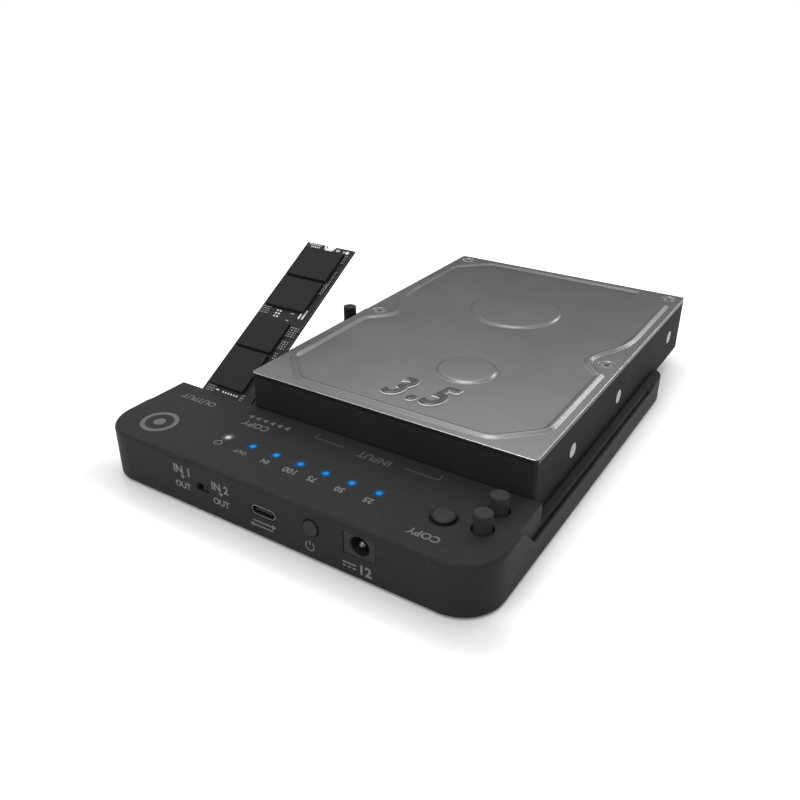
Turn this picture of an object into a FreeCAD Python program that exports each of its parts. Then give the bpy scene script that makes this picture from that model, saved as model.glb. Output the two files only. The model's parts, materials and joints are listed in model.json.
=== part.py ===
import FreeCAD, Part
import math
import os

# Drive duplicator: a low desktop dock with a control deck in front and an open tray behind it, shown with one
# 3.5 inch disk docked, one flash card half way into its socket, and three card holding pins.
# Millimetres, +Z up. X runs across the deck, Y from the deck towards the tray's open rear end.
# The origin lies on the table, under the middle of the dock's width and of the whole length with the
# disk docked.

Vector = FreeCAD.Vector

# ---- Housing -------------------------------------------------------------------------------------------
dock_depth = 154.0
left_margin = 9.5  # beside the flash card
rail_width = 4.1
deck_depth = 36.4
deck_height = 16.4  # above the housing's lower edge
rail_height = 9.2
tray_height = 6.7
left_edge_height = 5.2
ledge_height = 7.7
front_corner_radius = 13.0
rear_corner_radius = 9.0
wall = 2.0
deck_thickness = 2.0
tray_thickness = 2.0
deck_edge_radius = 1.2
ledge_depth = 1.2
ledge_ramp_start = 21.5  # behind the dock's front
ledge_ramp_end = 30.2
ledge_rear_margin = 19.0
groove_width = 0.6
groove_depth = 0.8
guide_rib_width = 1.6
guide_rib_height = 2.5
guide_rib_margin = 15.0

# ---- Base plate, feet and screws -----------------------------------------------------------------------
foot_height = 1.0
foot_radius = 5.0
foot_inset_x = 17.0
foot_inset_y = 19.0
base_thickness = 1.5
base_gap = 0.2
base_rib_width = 1.2
base_rib_gap = 0.3
screw_pad_height = 2.6
screw_pad_half = 3.7
screw_head_radius = 2.2
screw_head_height = 1.2
screw_shaft_radius = 1.2
screw_shaft_length = 4.4
shank_sides = 6  # a shank with flat sides stands for the thread's core
screw_clearance = 0.05
screw_hole_clearance = 0.25
screw_inset_x = 6.4
screw_inset_y = 8.6
boss_half = 2.6

# ---- Circuit board -------------------------------------------------------------------------------------
board_height = 6.9  # its upper face, above the housing's lower edge
board_thickness = 1.6
board_margin = 0.5
board_left_margin = 7.2
board_right_margin = 16.0
board_corner_cut = 12.6
post_half = 2.3
board_screw_head_radius = 1.8
board_screw_head_height = 1.0
board_screw_shaft_radius = 0.8
board_screw_shaft_length = 5.4
board_screw_left_inset = 23.0
board_screw_front_inset = 4.8
board_screw_rear_inset = 10.0  # in front of the sockets
board_screw_beside_inlet = 11.5
chip_side = 9.0
chip_thickness = 0.9
can_radius = 2.0
can_height = 5.4
can_base_height = 0.7
can_beside_inlet = 8.0
can_beside_button = 8.0
can_from_front = 7.0
can_from_rear = 11.0
coil_side = 5.2
coil_height = 2.4
coil_spacing = 7.0

# ---- Control deck --------------------------------------------------------------------------------------
light_row_depth = 16.5  # behind the dock's front
light_first_inset = 51.1  # from the dock's left side
light_pitch = 9.24
light_count = 6
power_light_offset = 10.1
light_radius = 0.95
light_sides = 16
light_clearance = 0.05
light_shank = 1.9  # square, under the deck
light_bar_depth = 3.0
light_bar_height = 0.9
light_gap = 0.3
lamp_width = 1.6
lamp_depth = 0.8
lamp_height = 0.7
copy_inset = 21.0  # from the dock's right side
copy_depth = 17.0
copy_radius = 3.4
copy_proud = 0.9
dish_radius = 5.0
dish_depth = 0.5
parking_inset = 9.8
parking_depths = (17.6, 27.1)
parking_mouth_radius = 3.1
parking_wall = 1.0
parking_mouth_depth = 3.0

# ---- Buttons and their switches ------------------------------------------------------------------------
button_clearance = 0.3
button_travel = 0.5
button_flange = 1.1  # radial
button_flange_thickness = 1.0
button_stem_radius = 1.5
switch_side = 6.2
switch_height = 3.5
plunger_radius = 1.7
plunger_length = 1.3  # outside the switch body
plunger_clearance = 0.15
power_inset = 52.8  # from the dock's right side
power_height = 10.3
power_radius = 2.5
power_proud = 0.6
power_switch_depth = 3.6
power_switch_height = 6.8
power_plunger_length = 1.3

# ---- Selector ------------------------------------------------------------------------------------------
selector_inset = 45.3  # from the dock's left side
selector_height = 8.5
selector_window_width = 4.8
selector_window_height = 2.6
selector_knob_width = 2.2
selector_knob_height = 1.7
selector_travel = 2.0
selector_knob_recess = 0.5
selector_body_width = 9.0
selector_body_depth = 3.6
selector_body_height = 3.4
selector_foot = 1.2
selector_clearance = 0.2

# ---- Data port -----------------------------------------------------------------------------------------
port_inset = 70.1  # from the dock's right side
port_width = 8.94
port_height = 3.2
port_length = 7.4
port_wall = 0.3
port_recess = 0.3
port_clearance = 0.3
tongue_width = 6.7
tongue_thickness = 0.7
tongue_length = 4.6
tongue_base_length = 2.2

# ---- Power inlet ---------------------------------------------------------------------------------------
inlet_inset = 36.8  # from the dock's right side
inlet_width = 10.0
inlet_body_height = 7.0
inlet_length = 12.0
inlet_recess = 0.15
inlet_clearance = 0.2
inlet_bore_radius = 3.0
inlet_bore_depth = 9.5
inlet_pin_radius = 1.0
inlet_pin_length = 8.6
inlet_spring_width = 2.4
inlet_spring_thickness = 0.3
inlet_spring_length = 7.0

# ---- Disk ----------------------------------------------------------------------------------------------
disk_width = 101.6
disk_length = 147.0
disk_height = 21.3
disk_gap = 1.6  # between the deck and the docked disk
disk_side_clearance = 0.3
disk_corner_radius = 1.5
cover_thickness = 1.6
bead_height = 0.45
bead_half = 0.75
bead_crest_half = 0.25
bead_side_margin = 4.1
bead_end_margin = 4.4
bead_corner_cut = 12.4
bead_corner_ease = 1.6
bead_gap = 2.6
bead_bay_depth = 7.2
# The bay round a middle screw: how far along the disk from that screw, and the share of the bay's depth.
bead_bay = ((-11.5, 0.0), (-8.9, 0.12), (-5.8, 0.53), (-2.6, 0.87), (0.7, 1.0), (4.5, 0.9), (8.5, 0.67),
            (13.0, 0.37), (18.5, 0.12), (24.5, 0.0))
cover_screw_inset_x = 5.0
cover_screw_rows = (68.5, 141.9)
cover_screw_radius = 2.3
cover_screw_head_height = 0.7
cover_screw_sink = 0.85
cover_screw_shaft_length = 4.0
big_disc = (50.0, 96.2, 17.2)  # across, along and radius, from the disk's front left corner
small_disc = (59.0, 39.4, 9.7)
disc_rise = 0.5
side_hole_rows = (28.5, 70.1, 130.1)
side_hole_height = 10.0
side_hole_radius = 1.75
side_hole_depth = 4.0
bowl_side_wall = 2.4
bowl_rear_wall = 3.1
bowl_floor = 6.6
bowl_lid_gap = 0.5
platter_clearance = 0.9
platter_lift = 2.6  # above the bowl's floor
platter_thickness = 1.3
platter_count = 1
platter_pitch = 4.2
hub_radius = 12.5
hub_skirt_radius = 15.5
hub_clamp_thickness = 1.6
arm_bearing = 24.6  # of the arm, from the disk's length
arm_pocket_overlap = 2.0
arm_pocket_radius = 19.0
arm_pivot_radius = 6.0
arm_reach = 44.0
arm_root_width = 12.0
arm_tip_width = 4.0
arm_thickness = 1.2
arm_lift = 0.6  # above the upper platter
arm_cap = 0.6
magnet_height = 9.0
magnet_gap = 0.4
magnet_width = 15.0
magnet_depth = 10.0
disk_board_recess = 3.6
disk_board_thickness = 1.2
disk_board_top_gap = 1.0
disk_board_margin = 7.0
disk_board_length = 64.0
disk_board_screw_radius = 1.9
disk_board_screw_head = 0.8
disk_board_screw_length = 4.0
disk_board_screw_inset = 5.0
disk_board_post_half = 2.7
disk_board_pilot_depth = 6.0
motor_radius = 14.0
motor_sink = 0.4
motor_height = 2.6

# ---- Disk connector ------------------------------------------------------------------------------------
connector_inset = 30.12  # its middle, from the disk's left side
connector_height = 3.5  # above the disk's underside
nose_width = 41.2
nose_height = 5.0
nose_reach = 4.6  # beyond the disk's front plane
socket_back = 10.0  # in front of the disk's front plane
power_blade_width = 20.6
signal_blade_width = 10.2
blade_thickness = 1.2
blade_key = 2.4
blade_spacing = 2.6
blade_start = 0.4
blade_clearance = 0.25
slot_depth = 6.0
plug_front = 6.2
plug_back = 12.6
plug_width = 42.6
plug_height = 5.4
casting_notch_clearance = 0.9
window_clearance = 0.6
power_terminal_count = 15
signal_terminal_count = 7
terminal_pitch = 1.27
terminal_width = 0.6
plug_terminal_thickness = 0.08
socket_terminal_thickness = 0.12

# ---- Card sockets and flash card -----------------------------------------------------------------------
card_width = 22.0
card_length = 80.0
card_thickness = 0.8
card_tilt = 30.4
card_left_margin = 1.1  # between the card and the docked disk
card_pivot_back = 5.65  # from the disk's front plane
card_pivot_height = 5.87  # above the tray floor
card_grip = 2.0  # from the card's edge to the pivot
source_socket_inset = 30.7  # from the dock's right side
socket_wall = 0.75
socket_clearance = 0.2
socket_rear = 1.75  # lower jaw, behind the pivot
socket_front = 3.9  # back wall, in front of the pivot
socket_top = 7.5  # above the tray floor
socket_roof = 0.4
mouth_clearance = 0.4
spring_thickness = 0.22
spring_width = 0.3
spring_gap = 0.08
spring_reach = 2.9
spring_back_gap = 0.3
spring_pitch = 1.0
spring_count = 20
key_offset = 6.0  # from the card's middle to the key slot
key_width = 1.2
key_depth = 3.2
shoulder_width = 1.1
shoulder_depth = 1.6
finger_inset = 0.2
finger_length = 1.9
finger_width = 0.4
finger_thickness = 0.04
notch_radius = 1.75
plating_width = 0.9
card_chip_height = 1.1
card_chip_left_inset = 1.1
# Each chip's start and length as shares of the card's length, counted from its plug end, and its width.
card_chips_laid = ((0.1325, 0.20625, 15.8), (0.3525, 0.16875, 15.8), (0.5975, 0.175, 17.8),
                   (0.7875, 0.175, 18.0))

# ---- Holding pins --------------------------------------------------------------------------------------
pin_radius = 2.55
pin_length = 20.0
pin_waist_radius = 1.65
pin_waist_height = 1.2
pin_fit = 0.2
pin_socket_depth = 2.0
pin_cup_wall = 1.3
shorter_cards = (30.0, 42.0, 60.0)

# ---- Places worked out from the sizes ------------------------------------------------------------------
dock_width = left_margin + card_width + card_left_margin + disk_width + disk_side_clearance + rail_width
whole_length = deck_depth + disk_gap + disk_length
LEFT = -dock_width / 2
RIGHT = dock_width / 2
FRONT = (power_proud - whole_length) / 2
REAR = FRONT + dock_depth
DECK_REAR = FRONT + deck_depth
DISK_FRONT = DECK_REAR + disk_gap
DISK_REAR = DISK_FRONT + disk_length

BOTTOM = foot_height
DECK_TOP = BOTTOM + deck_height
DECK_UNDER = DECK_TOP - deck_thickness
RAIL_TOP = BOTTOM + rail_height
TRAY_TOP = BOTTOM + tray_height
TRAY_UNDER = TRAY_TOP - tray_thickness
BOARD_TOP = BOTTOM + board_height
BOARD_UNDER = BOARD_TOP - board_thickness

RAIL_LEFT = RIGHT - rail_width
DISK_RIGHT = RAIL_LEFT - disk_side_clearance
DISK_LEFT = DISK_RIGHT - disk_width
DISK_MIDDLE = (DISK_LEFT + DISK_RIGHT) / 2
CONNECTOR_X = DISK_LEFT + connector_inset

LIGHT_FIRST_X = LEFT + light_first_inset
SELECTOR_X = LEFT + selector_inset
PORT_X = RIGHT - port_inset
POWER_X = RIGHT - power_inset
INLET_X = RIGHT - inlet_inset
COPY_X = RIGHT - copy_inset
PARKING_X = RIGHT - parking_inset
SOURCE_SOCKET_X = RIGHT - source_socket_inset

CARD_X = DISK_LEFT - card_left_margin - card_width / 2
PIVOT_Y = DISK_FRONT - card_pivot_back
PIVOT_Z = TRAY_TOP + card_pivot_height
TILT = math.radians(card_tilt)

BOWL_RADIUS = disk_width / 2 - bowl_side_wall
BOWL_X = DISK_MIDDLE
BOWL_Y = DISK_REAR - bowl_rear_wall - BOWL_RADIUS
PLATTER_RADIUS = BOWL_RADIUS - platter_clearance
ARM_DISTANCE = BOWL_RADIUS + arm_pocket_radius - arm_pocket_overlap
ARM_X = BOWL_X + ARM_DISTANCE * math.sin(math.radians(arm_bearing))
ARM_Y = BOWL_Y - ARM_DISTANCE * math.cos(math.radians(arm_bearing))

BOARD_LEFT = LEFT + board_left_margin
BOARD_RIGHT = RIGHT - board_right_margin
BOARD_FRONT = FRONT + wall + board_margin
BOARD_REAR = DECK_REAR - wall - board_margin

NODES = {}


# ---- Building helpers ----------------------------------------------------------------------------------
def box(x0, x1, y0, y1, z0, z1):
    """A block between two corners."""
    return Part.makeBox(x1 - x0, y1 - y0, z1 - z0, Vector(x0, y0, z0))


def post(radius, x, y, z0, z1):
    """An upright cylinder."""
    return Part.makeCylinder(radius, z1 - z0, Vector(x, y, z0), Vector(0, 0, 1))


def pillar(half, x, y, z0, z1):
    """An upright square bar."""
    return box(x - half, x + half, y - half, y + half, z0, z1)


def prism(sides, radius, x, y, z0, z1):
    """An upright bar with flat sides and its corners on the radius."""
    turn = 2 * math.pi / sides
    angles = [(n + 0.5) * turn for n in range(sides)]
    return plan_profile([(x + radius * math.cos(a), y + radius * math.sin(a)) for a in angles], z0, z1)


def shank(radius, x, y, z0, z1):
    """A screw's shank, or with a wider radius the hole that takes it."""
    return prism(shank_sides, radius, x, y, z0, z1)


def rod(radius, x, y0, y1, z):
    """A cylinder that lies along Y."""
    return Part.makeCylinder(radius, y1 - y0, Vector(x, y0, z), Vector(0, 1, 0))


def joined(solids):
    """All the solids fused into one, without seams."""
    first, *rest = solids
    return first.multiFuse(rest).removeSplitter() if rest else first


def less(solid, cuts):
    """The solid without the cuts."""
    return solid.cut(list(cuts))


def outline(x0, x1, y0, y1, front_radius, rear_radius):
    """A flat rectangle at Z = 0 with rounded corners, as a wire."""
    r, q = front_radius, rear_radius
    bulge = math.sqrt(0.5)

    def corner(cx, cy, radius, dx, dy):
        """Start, middle and end of a corner's arc, going anticlockwise."""
        middle = Vector(cx + radius * bulge * dx, cy + radius * bulge * dy, 0)
        side = Vector(cx + radius * dx, cy, 0)
        end = Vector(cx, cy + radius * dy, 0)
        return (side, middle, end) if dx * dy > 0 else (end, middle, side)

    corners = [
        corner(x1 - r, y0 + r, r, 1, -1),
        corner(x1 - q, y1 - q, q, 1, 1),
        corner(x0 + q, y1 - q, q, -1, 1),
        corner(x0 + r, y0 + r, r, -1, -1),
    ]
    edges = []
    for here, following in zip(corners, corners[1:] + corners[:1]):
        edges.append(Part.Arc(*here).toShape())
        edges.append(Part.LineSegment(here[2], following[0]).toShape())
    return Part.Wire(edges)


def slab(x0, x1, y0, y1, z0, z1, front_radius, rear_radius):
    """A plate with rounded corners."""
    face = Part.Face(outline(x0, x1, y0, y1, front_radius, rear_radius))
    face.translate(Vector(0, 0, z0))
    return face.extrude(Vector(0, 0, z1 - z0))


def side_profile(points, x0, x1):
    """A prism along X over a closed outline of (y, z) points."""
    wire = Part.makePolygon([Vector(x0, y, z) for y, z in points + points[:1]])
    return Part.Face(wire).extrude(Vector(x1 - x0, 0, 0))


def plan_profile(points, z0, z1):
    """A prism along Z over a closed outline of (x, y) points."""
    wire = Part.makePolygon([Vector(x, y, z0) for x, y in points + points[:1]])
    return Part.Face(wire).extrude(Vector(0, 0, z1 - z0))


def obround(x, z, width, height, y0, y1):
    """A bar along Y whose section is a slot shape, wider than high."""
    radius = height / 2
    reach = width / 2 - radius
    core = box(x - reach, x + reach, y0, y1, z - radius, z + radius)
    ends = [rod(radius, x + side * reach, y0, y1, z) for side in (-1, 1)]
    return joined([core] + ends)


def turned(points, x, y, z):
    """A body of revolution about a vertical axis over (radius, height) points."""
    wire = Part.makePolygon([Vector(r, 0, h) for r, h in points + points[:1]])
    body = Part.Face(wire).revolve(Vector(0, 0, 0), Vector(0, 0, 1), 360)
    body.translate(Vector(x, y, z))
    return body


def along_card(solid):
    """Moves a solid from the card's flat frame to its place in the target socket, tilted up."""
    placed = solid.copy()
    placed.rotate(Vector(0, 0, 0), Vector(1, 0, 0), card_tilt)
    placed.translate(Vector(CARD_X, PIVOT_Y, PIVOT_Z))
    return placed


def keep(name, *solids):
    """Names a node and the solids in it."""
    NODES[name] = solids[0] if len(solids) == 1 else Part.makeCompound(list(solids))


# ---- Shared places -------------------------------------------------------------------------------------
def light_places():
    """X of each progress light, from left to right."""
    return [LIGHT_FIRST_X + n * light_pitch for n in range(light_count)]


def power_light_place():
    """X of the single power light."""
    return LIGHT_FIRST_X - power_light_offset


def housing_screw_places():
    """The five screws that hold the base plate."""
    sides = (LEFT + screw_inset_x, RIGHT - screw_inset_x)
    corners = [(x, y) for x in sides for y in (FRONT + screw_inset_y, REAR - screw_inset_y)]
    middle_y = (DECK_REAR + REAR) / 2
    return corners + [((CARD_X + SOURCE_SOCKET_X) / 2, middle_y)]


def board_screw_places():
    """The four screws that hold the circuit board under the deck."""
    rear = BOARD_REAR - board_screw_rear_inset
    front = BOARD_FRONT + board_screw_front_inset
    return [(CARD_X + card_width / 2, rear), (SOURCE_SOCKET_X - card_width / 2, rear),
            (LEFT + board_screw_left_inset, front),
            (INLET_X + board_screw_beside_inlet, front)]


def parking_places():
    """The two holes in the deck that store holding pins."""
    return [(PARKING_X, FRONT + depth) for depth in parking_depths]


def pin_socket_places():
    """Pockets in the tray floor, one for each card length, for each of the two card sockets."""
    rows = [PIVOT_Y - card_grip + length for length in shorter_cards + (card_length,)]
    return [(x, y) for x in (CARD_X, SOURCE_SOCKET_X) for y in rows]


# ---- Housing -------------------------------------------------------------------------------------------
def ledge_cut(side, height, rear_ramp):
    """What the stepped side edge of the tray removes from the housing; side is -1 for left, 1 for right."""
    level = BOTTOM + height
    start = FRONT + ledge_ramp_start
    above = DECK_TOP + 5
    points = [(start, above), (start, DECK_TOP), (FRONT + ledge_ramp_end, level)]
    if rear_ramp:
        foot = REAR - ledge_rear_margin
        crest = foot + 3 * (RAIL_TOP - level)
        points += [(foot, level), (crest, RAIL_TOP), (crest, above)]
    else:
        points += [(REAR + 1, level), (REAR + 1, above)]
    face = side * dock_width / 2
    inner, outer = sorted((face - side * ledge_depth, face + side))
    return side_profile(points, inner, outer)


def card_mouth(x):
    """The opening in the deck's rear wall through which a card swings from flat to tilted."""
    half = card_width / 2 + mouth_clearance
    rise = math.tan(TILT)
    low = PIVOT_Z - card_thickness / 2 - mouth_clearance
    over = (card_thickness / 2 + mouth_clearance) / math.cos(TILT)
    inside = DECK_REAR - wall - 3.0
    outside = DECK_REAR + 2.0
    top_inside = PIVOT_Z + over + (inside - PIVOT_Y) * rise
    top_outside = PIVOT_Z + over + (outside - PIVOT_Y) * rise
    points = [(inside, low), (outside, low), (outside, top_outside), (inside, top_inside)]
    return side_profile(points, x - half, x + half)


def housing():
    """The top moulding: deck, skirt, tray, rails, posts, bosses, pin cups and parking tubes in one piece."""
    body = slab(LEFT, RIGHT, FRONT, REAR, BOTTOM, DECK_TOP, front_corner_radius, rear_corner_radius)
    rim = [e for e in body.Edges if abs(e.BoundBox.ZMin - DECK_TOP) < 0.01]
    body = body.makeFillet(deck_edge_radius, rim)

    inner = (LEFT + wall, RIGHT - wall, FRONT + wall)
    radii = (front_corner_radius - wall, rear_corner_radius - wall)
    front_room = slab(*inner, REAR - wall, BOTTOM - 1, DECK_UNDER, *radii)
    front_room = front_room.common(box(LEFT, RIGHT, FRONT, DECK_REAR - wall, BOTTOM - 2, DECK_TOP))
    rear_room = slab(*inner, REAR - wall, BOTTOM - 1, TRAY_UNDER, *radii)
    above = DECK_TOP + 5
    groove_x = RIGHT - ledge_depth
    rib_right = DISK_LEFT - disk_side_clearance
    rib_left = rib_right - guide_rib_width
    rib_top = TRAY_TOP + guide_rib_height
    level = BOTTOM + ledge_height
    cuts = [
        front_room,
        rear_room,
        box(LEFT - 1, RIGHT + 1, DECK_REAR, REAR + 1, RAIL_TOP, above),
        box(LEFT - 1, rib_left, DECK_REAR, REAR + 1, TRAY_TOP, above),
        box(rib_right, RAIL_LEFT, DECK_REAR, REAR + 1, TRAY_TOP, above),
        box(rib_left, rib_right, DECK_REAR, REAR + 1, rib_top, above),
        box(rib_left, rib_right, DECK_REAR, DISK_FRONT + guide_rib_margin, TRAY_TOP, above),
        box(rib_left, rib_right, REAR - guide_rib_margin, REAR + 1, TRAY_TOP, above),
        ledge_cut(1, ledge_height, True),
        ledge_cut(-1, left_edge_height, False),
        box(groove_x, groove_x + groove_width, FRONT + ledge_ramp_end, REAR - ledge_rear_margin,
            level - groove_depth, above),
    ]
    body = less(body, cuts)
    body = joined([body] + housing_inside())
    return less(body, housing_openings())


def housing_inside():
    """Bosses, board posts and the blocks round the pin holes, all under the moulding."""
    added = []
    pad_top = BOTTOM + screw_pad_height
    for x, y in housing_screw_places():
        ceiling = DECK_UNDER if y < DECK_REAR - wall else TRAY_UNDER
        added.append(pillar(boss_half, x, y, pad_top, ceiling))
    for x, y in board_screw_places():
        added.append(pillar(post_half, x, y, BOARD_TOP, DECK_UNDER))
    reach = pin_radius + pin_fit + pin_cup_wall
    rows = [y for _, y in pin_socket_places()]
    for x in (CARD_X, SOURCE_SOCKET_X):
        added.append(box(x - reach, x + reach, min(rows) - reach, max(rows) + reach,
                         TRAY_TOP - pin_socket_depth - pin_cup_wall, TRAY_UNDER))
    half = parking_mouth_radius + parking_wall
    rows = [y for _, y in parking_places()]
    added.append(box(PARKING_X - half, PARKING_X + half, min(rows) - half, max(rows) + half,
                     BOTTOM + base_thickness + base_gap, DECK_UNDER))
    return added


def housing_openings():
    """Every hole in the moulding that something shows through, screws into or stands in."""
    through = DECK_TOP + 1
    cuts = [card_mouth(CARD_X), card_mouth(SOURCE_SOCKET_X)]
    half = nose_width / 2 + window_clearance
    middle = TRAY_TOP + connector_height
    window = nose_height / 2 + window_clearance
    cuts.append(box(CONNECTOR_X - half, CONNECTOR_X + half, DECK_REAR - wall - 1, DECK_REAR + 1,
                    TRAY_TOP, middle + window))
    for x in light_places() + [power_light_place()]:
        cuts.append(prism(light_sides, light_radius + light_clearance, x, FRONT + light_row_depth,
                          DECK_UNDER - 1, through))
    cuts.append(post(copy_radius + button_clearance, COPY_X, FRONT + copy_depth, DECK_UNDER - 1, through))
    lip = copy_radius + button_clearance
    dish = [(0, 0), (lip, 0), (dish_radius, dish_depth), (dish_radius, dish_depth + 1), (0, dish_depth + 1)]
    cuts.append(turned(dish, COPY_X, FRONT + copy_depth, DECK_TOP - dish_depth))
    for x, y in parking_places():
        cuts.append(post(parking_mouth_radius, x, y, DECK_TOP - parking_mouth_depth, through))
        cuts.append(post(pin_radius + pin_fit, x, y, BOTTOM, DECK_TOP))
    for x, y in pin_socket_places():
        corner = (pin_radius + pin_fit) / math.cos(math.pi / 6)
        cuts.append(prism(6, corner, x, y, TRAY_TOP - pin_socket_depth, TRAY_TOP + 1))
    pilot = screw_shaft_radius + screw_clearance
    for x, y in housing_screw_places():
        top = BOTTOM + screw_head_height + screw_shaft_length + base_gap
        cuts.append(shank(pilot, x, y, BOTTOM, top))
    for x, y in board_screw_places():
        top = BOARD_UNDER + board_screw_shaft_length + base_gap
        cuts.append(shank(board_screw_shaft_radius + screw_clearance, x, y, BOARD_UNDER, top))
    front = (FRONT - 1, FRONT + wall + 0.5)
    cuts.append(box(SELECTOR_X - selector_window_width / 2, SELECTOR_X + selector_window_width / 2, *front,
                    BOTTOM + selector_height - selector_window_height / 2,
                    BOTTOM + selector_height + selector_window_height / 2))
    cuts.append(obround(PORT_X, BOARD_TOP + port_height / 2, port_width + 2 * port_clearance,
                        port_height + 2 * port_clearance, *front))
    cuts.append(rod(power_radius + button_clearance, POWER_X, *front, BOTTOM + power_height))
    inlet_half = inlet_width / 2 + inlet_clearance
    cuts.append(box(INLET_X - inlet_half, INLET_X + inlet_half, *front,
                    BOARD_TOP - inlet_clearance, BOARD_TOP + inlet_body_height + inlet_clearance))
    return cuts


# ---- Base plate, feet, screws --------------------------------------------------------------------------
def foot_places():
    """The four rubber feet."""
    return [(x, y) for x in (LEFT + foot_inset_x, RIGHT - foot_inset_x)
            for y in (FRONT + foot_inset_y, REAR - foot_inset_y)]


def base_plate():
    """The plate that closes the housing from below, with screw pads and stiffening ribs."""
    edge = wall + base_gap
    plate = slab(LEFT + edge, RIGHT - edge, FRONT + edge, REAR - edge, BOTTOM, BOTTOM + base_thickness,
                 front_corner_radius - edge, rear_corner_radius - edge)
    room = slab(LEFT + edge, RIGHT - edge, FRONT + edge, REAR - edge, BOTTOM, BOTTOM + tray_height,
                front_corner_radius - edge, rear_corner_radius - edge)
    rib_top = TRAY_UNDER - base_rib_gap
    added = []
    for x in (LEFT + 2 * foot_inset_x, CONNECTOR_X + nose_width / 3, RIGHT - foot_inset_x):
        added.append(box(x, x + base_rib_width, DECK_REAR + 4, REAR - 2 * wall, BOTTOM, rib_top))
    for x, y in housing_screw_places():
        added.append(pillar(screw_pad_half, x, y, BOTTOM, BOTTOM + screw_pad_height).common(room))
    plate = joined([plate] + added)
    head_room = screw_head_radius + screw_hole_clearance
    shank_room = screw_shaft_radius + screw_hole_clearance
    cuts = []
    for x, y in housing_screw_places():
        cuts.append(post(head_room, x, y, BOTTOM - 1, BOTTOM + screw_head_height))
        cuts.append(shank(shank_room, x, y, BOTTOM, BOTTOM + 2 * screw_pad_height))
    return less(plate, cuts)


def foot(x, y):
    """A rubber disc glued under the plate."""
    return post(foot_radius, x, y, 0, foot_height)


def hexagon_screw(x, y, z, head_radius, head_height, shaft_radius, shaft_length):
    """A screw with a six-sided head, driven upwards, its head's underside at z."""
    head = prism(6, head_radius, x, y, z, z + head_height)
    return joined([head, shank(shaft_radius, x, y, z + head_height, z + head_height + shaft_length)])


def housing_screw(x, y):
    """One of the round-headed screws that hold the base plate."""
    neck = BOTTOM + screw_head_height
    head = post(screw_head_radius, x, y, BOTTOM, neck)
    return joined([head, shank(screw_shaft_radius, x, y, neck, neck + screw_shaft_length)])


def board_screw(x, y):
    """One of the screws that hold the circuit board up against the deck's posts."""
    return hexagon_screw(x, y, BOARD_UNDER - board_screw_head_height, board_screw_head_radius,
                         board_screw_head_height, board_screw_shaft_radius, board_screw_shaft_length)


# ---- Board and what is soldered to it ------------------------------------------------------------------
def main_board():
    """The circuit board under the deck."""
    board = box(BOARD_LEFT, BOARD_RIGHT, BOARD_FRONT, BOARD_REAR, BOARD_UNDER, BOARD_TOP)
    button_room = power_radius + button_flange + 2 * button_clearance
    button_depth = FRONT + wall + button_flange_thickness + button_travel + button_clearance
    cuts = [
        box(BOARD_LEFT - 1, LEFT + board_corner_cut, BOARD_FRONT - 1, FRONT + board_corner_cut + 1,
            BOARD_UNDER - 1, BOARD_TOP + 1),
        box(POWER_X - button_room, POWER_X + button_room, BOARD_FRONT - 1, button_depth,
            BOARD_UNDER - 1, BOARD_TOP + 1),
    ]
    shank_room = board_screw_shaft_radius + screw_hole_clearance
    for x, y in board_screw_places():
        cuts.append(shank(shank_room, x, y, BOARD_UNDER - 1, BOARD_TOP + 1))
    return less(board, cuts)


def light_pipe(places):
    """A clear moulding: a shank over each lamp, a bar under the deck and a tip in each deck hole."""
    bottom = BOARD_TOP + lamp_height + light_gap
    y = FRONT + light_row_depth
    half = light_shank / 2
    bar_half = light_bar_depth / 2
    pieces = [box(min(places) - bar_half, max(places) + bar_half, y - bar_half, y + bar_half,
                  DECK_UNDER - light_bar_height, DECK_UNDER)]
    for x in places:
        pieces.append(box(x - half, x + half, y - half, y + half, bottom, DECK_UNDER - light_bar_height))
        pieces.append(prism(light_sides, light_radius, x, y, DECK_UNDER - light_bar_height, DECK_TOP))
    return joined(pieces)


def lamp(x):
    """A surface-mounted lamp under a light pipe."""
    y = FRONT + light_row_depth
    return box(x - lamp_width / 2, x + lamp_width / 2, y - lamp_depth / 2, y + lamp_depth / 2,
               BOARD_TOP, BOARD_TOP + lamp_height)


def disk_socket():
    """The right-angle connector that the docked disk plugs on to."""
    half = nose_width / 2
    middle = TRAY_TOP + connector_height
    low, high = middle - nose_height / 2, middle + nose_height / 2
    back = DISK_FRONT - socket_back
    tip = DISK_FRONT + nose_reach
    nose = box(CONNECTOR_X - half, CONNECTOR_X + half, back, tip, low, high)
    nose = nose.makeChamfer(0.4, [e for e in nose.Edges if abs(e.BoundBox.YMin - tip) < 0.01])
    base = box(CONNECTOR_X - half, CONNECTOR_X + half, back, DECK_REAR - wall - window_clearance,
               BOARD_TOP, high)
    body = joined([nose, base])
    slots = [blade(x, width, tip - slot_depth, tip + 1, blade_clearance) for x, width in blade_places()]
    return less(body, slots)


def blade_places():
    """Centre X and width of the power blade and of the signal blade."""
    total = power_blade_width + blade_spacing + signal_blade_width
    left = CONNECTOR_X - total / 2
    return [(left + power_blade_width / 2, power_blade_width),
            (left + total - signal_blade_width / 2, signal_blade_width)]


def blade(x, width, y0, y1, grow=0.0):
    """An L-shaped connector blade, or with a clearance the slot that takes it."""
    middle = TRAY_TOP + connector_height
    half = width / 2
    low, high = middle - blade_thickness / 2, middle + blade_thickness / 2
    flat = box(x - half - grow, x + half + grow, y0, y1, low - grow, high + grow)
    key = box(x - half - grow, x - half + blade_thickness + grow, y0, y1,
              middle - blade_key / 2 - grow, high + grow)
    return joined([flat, key])


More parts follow.
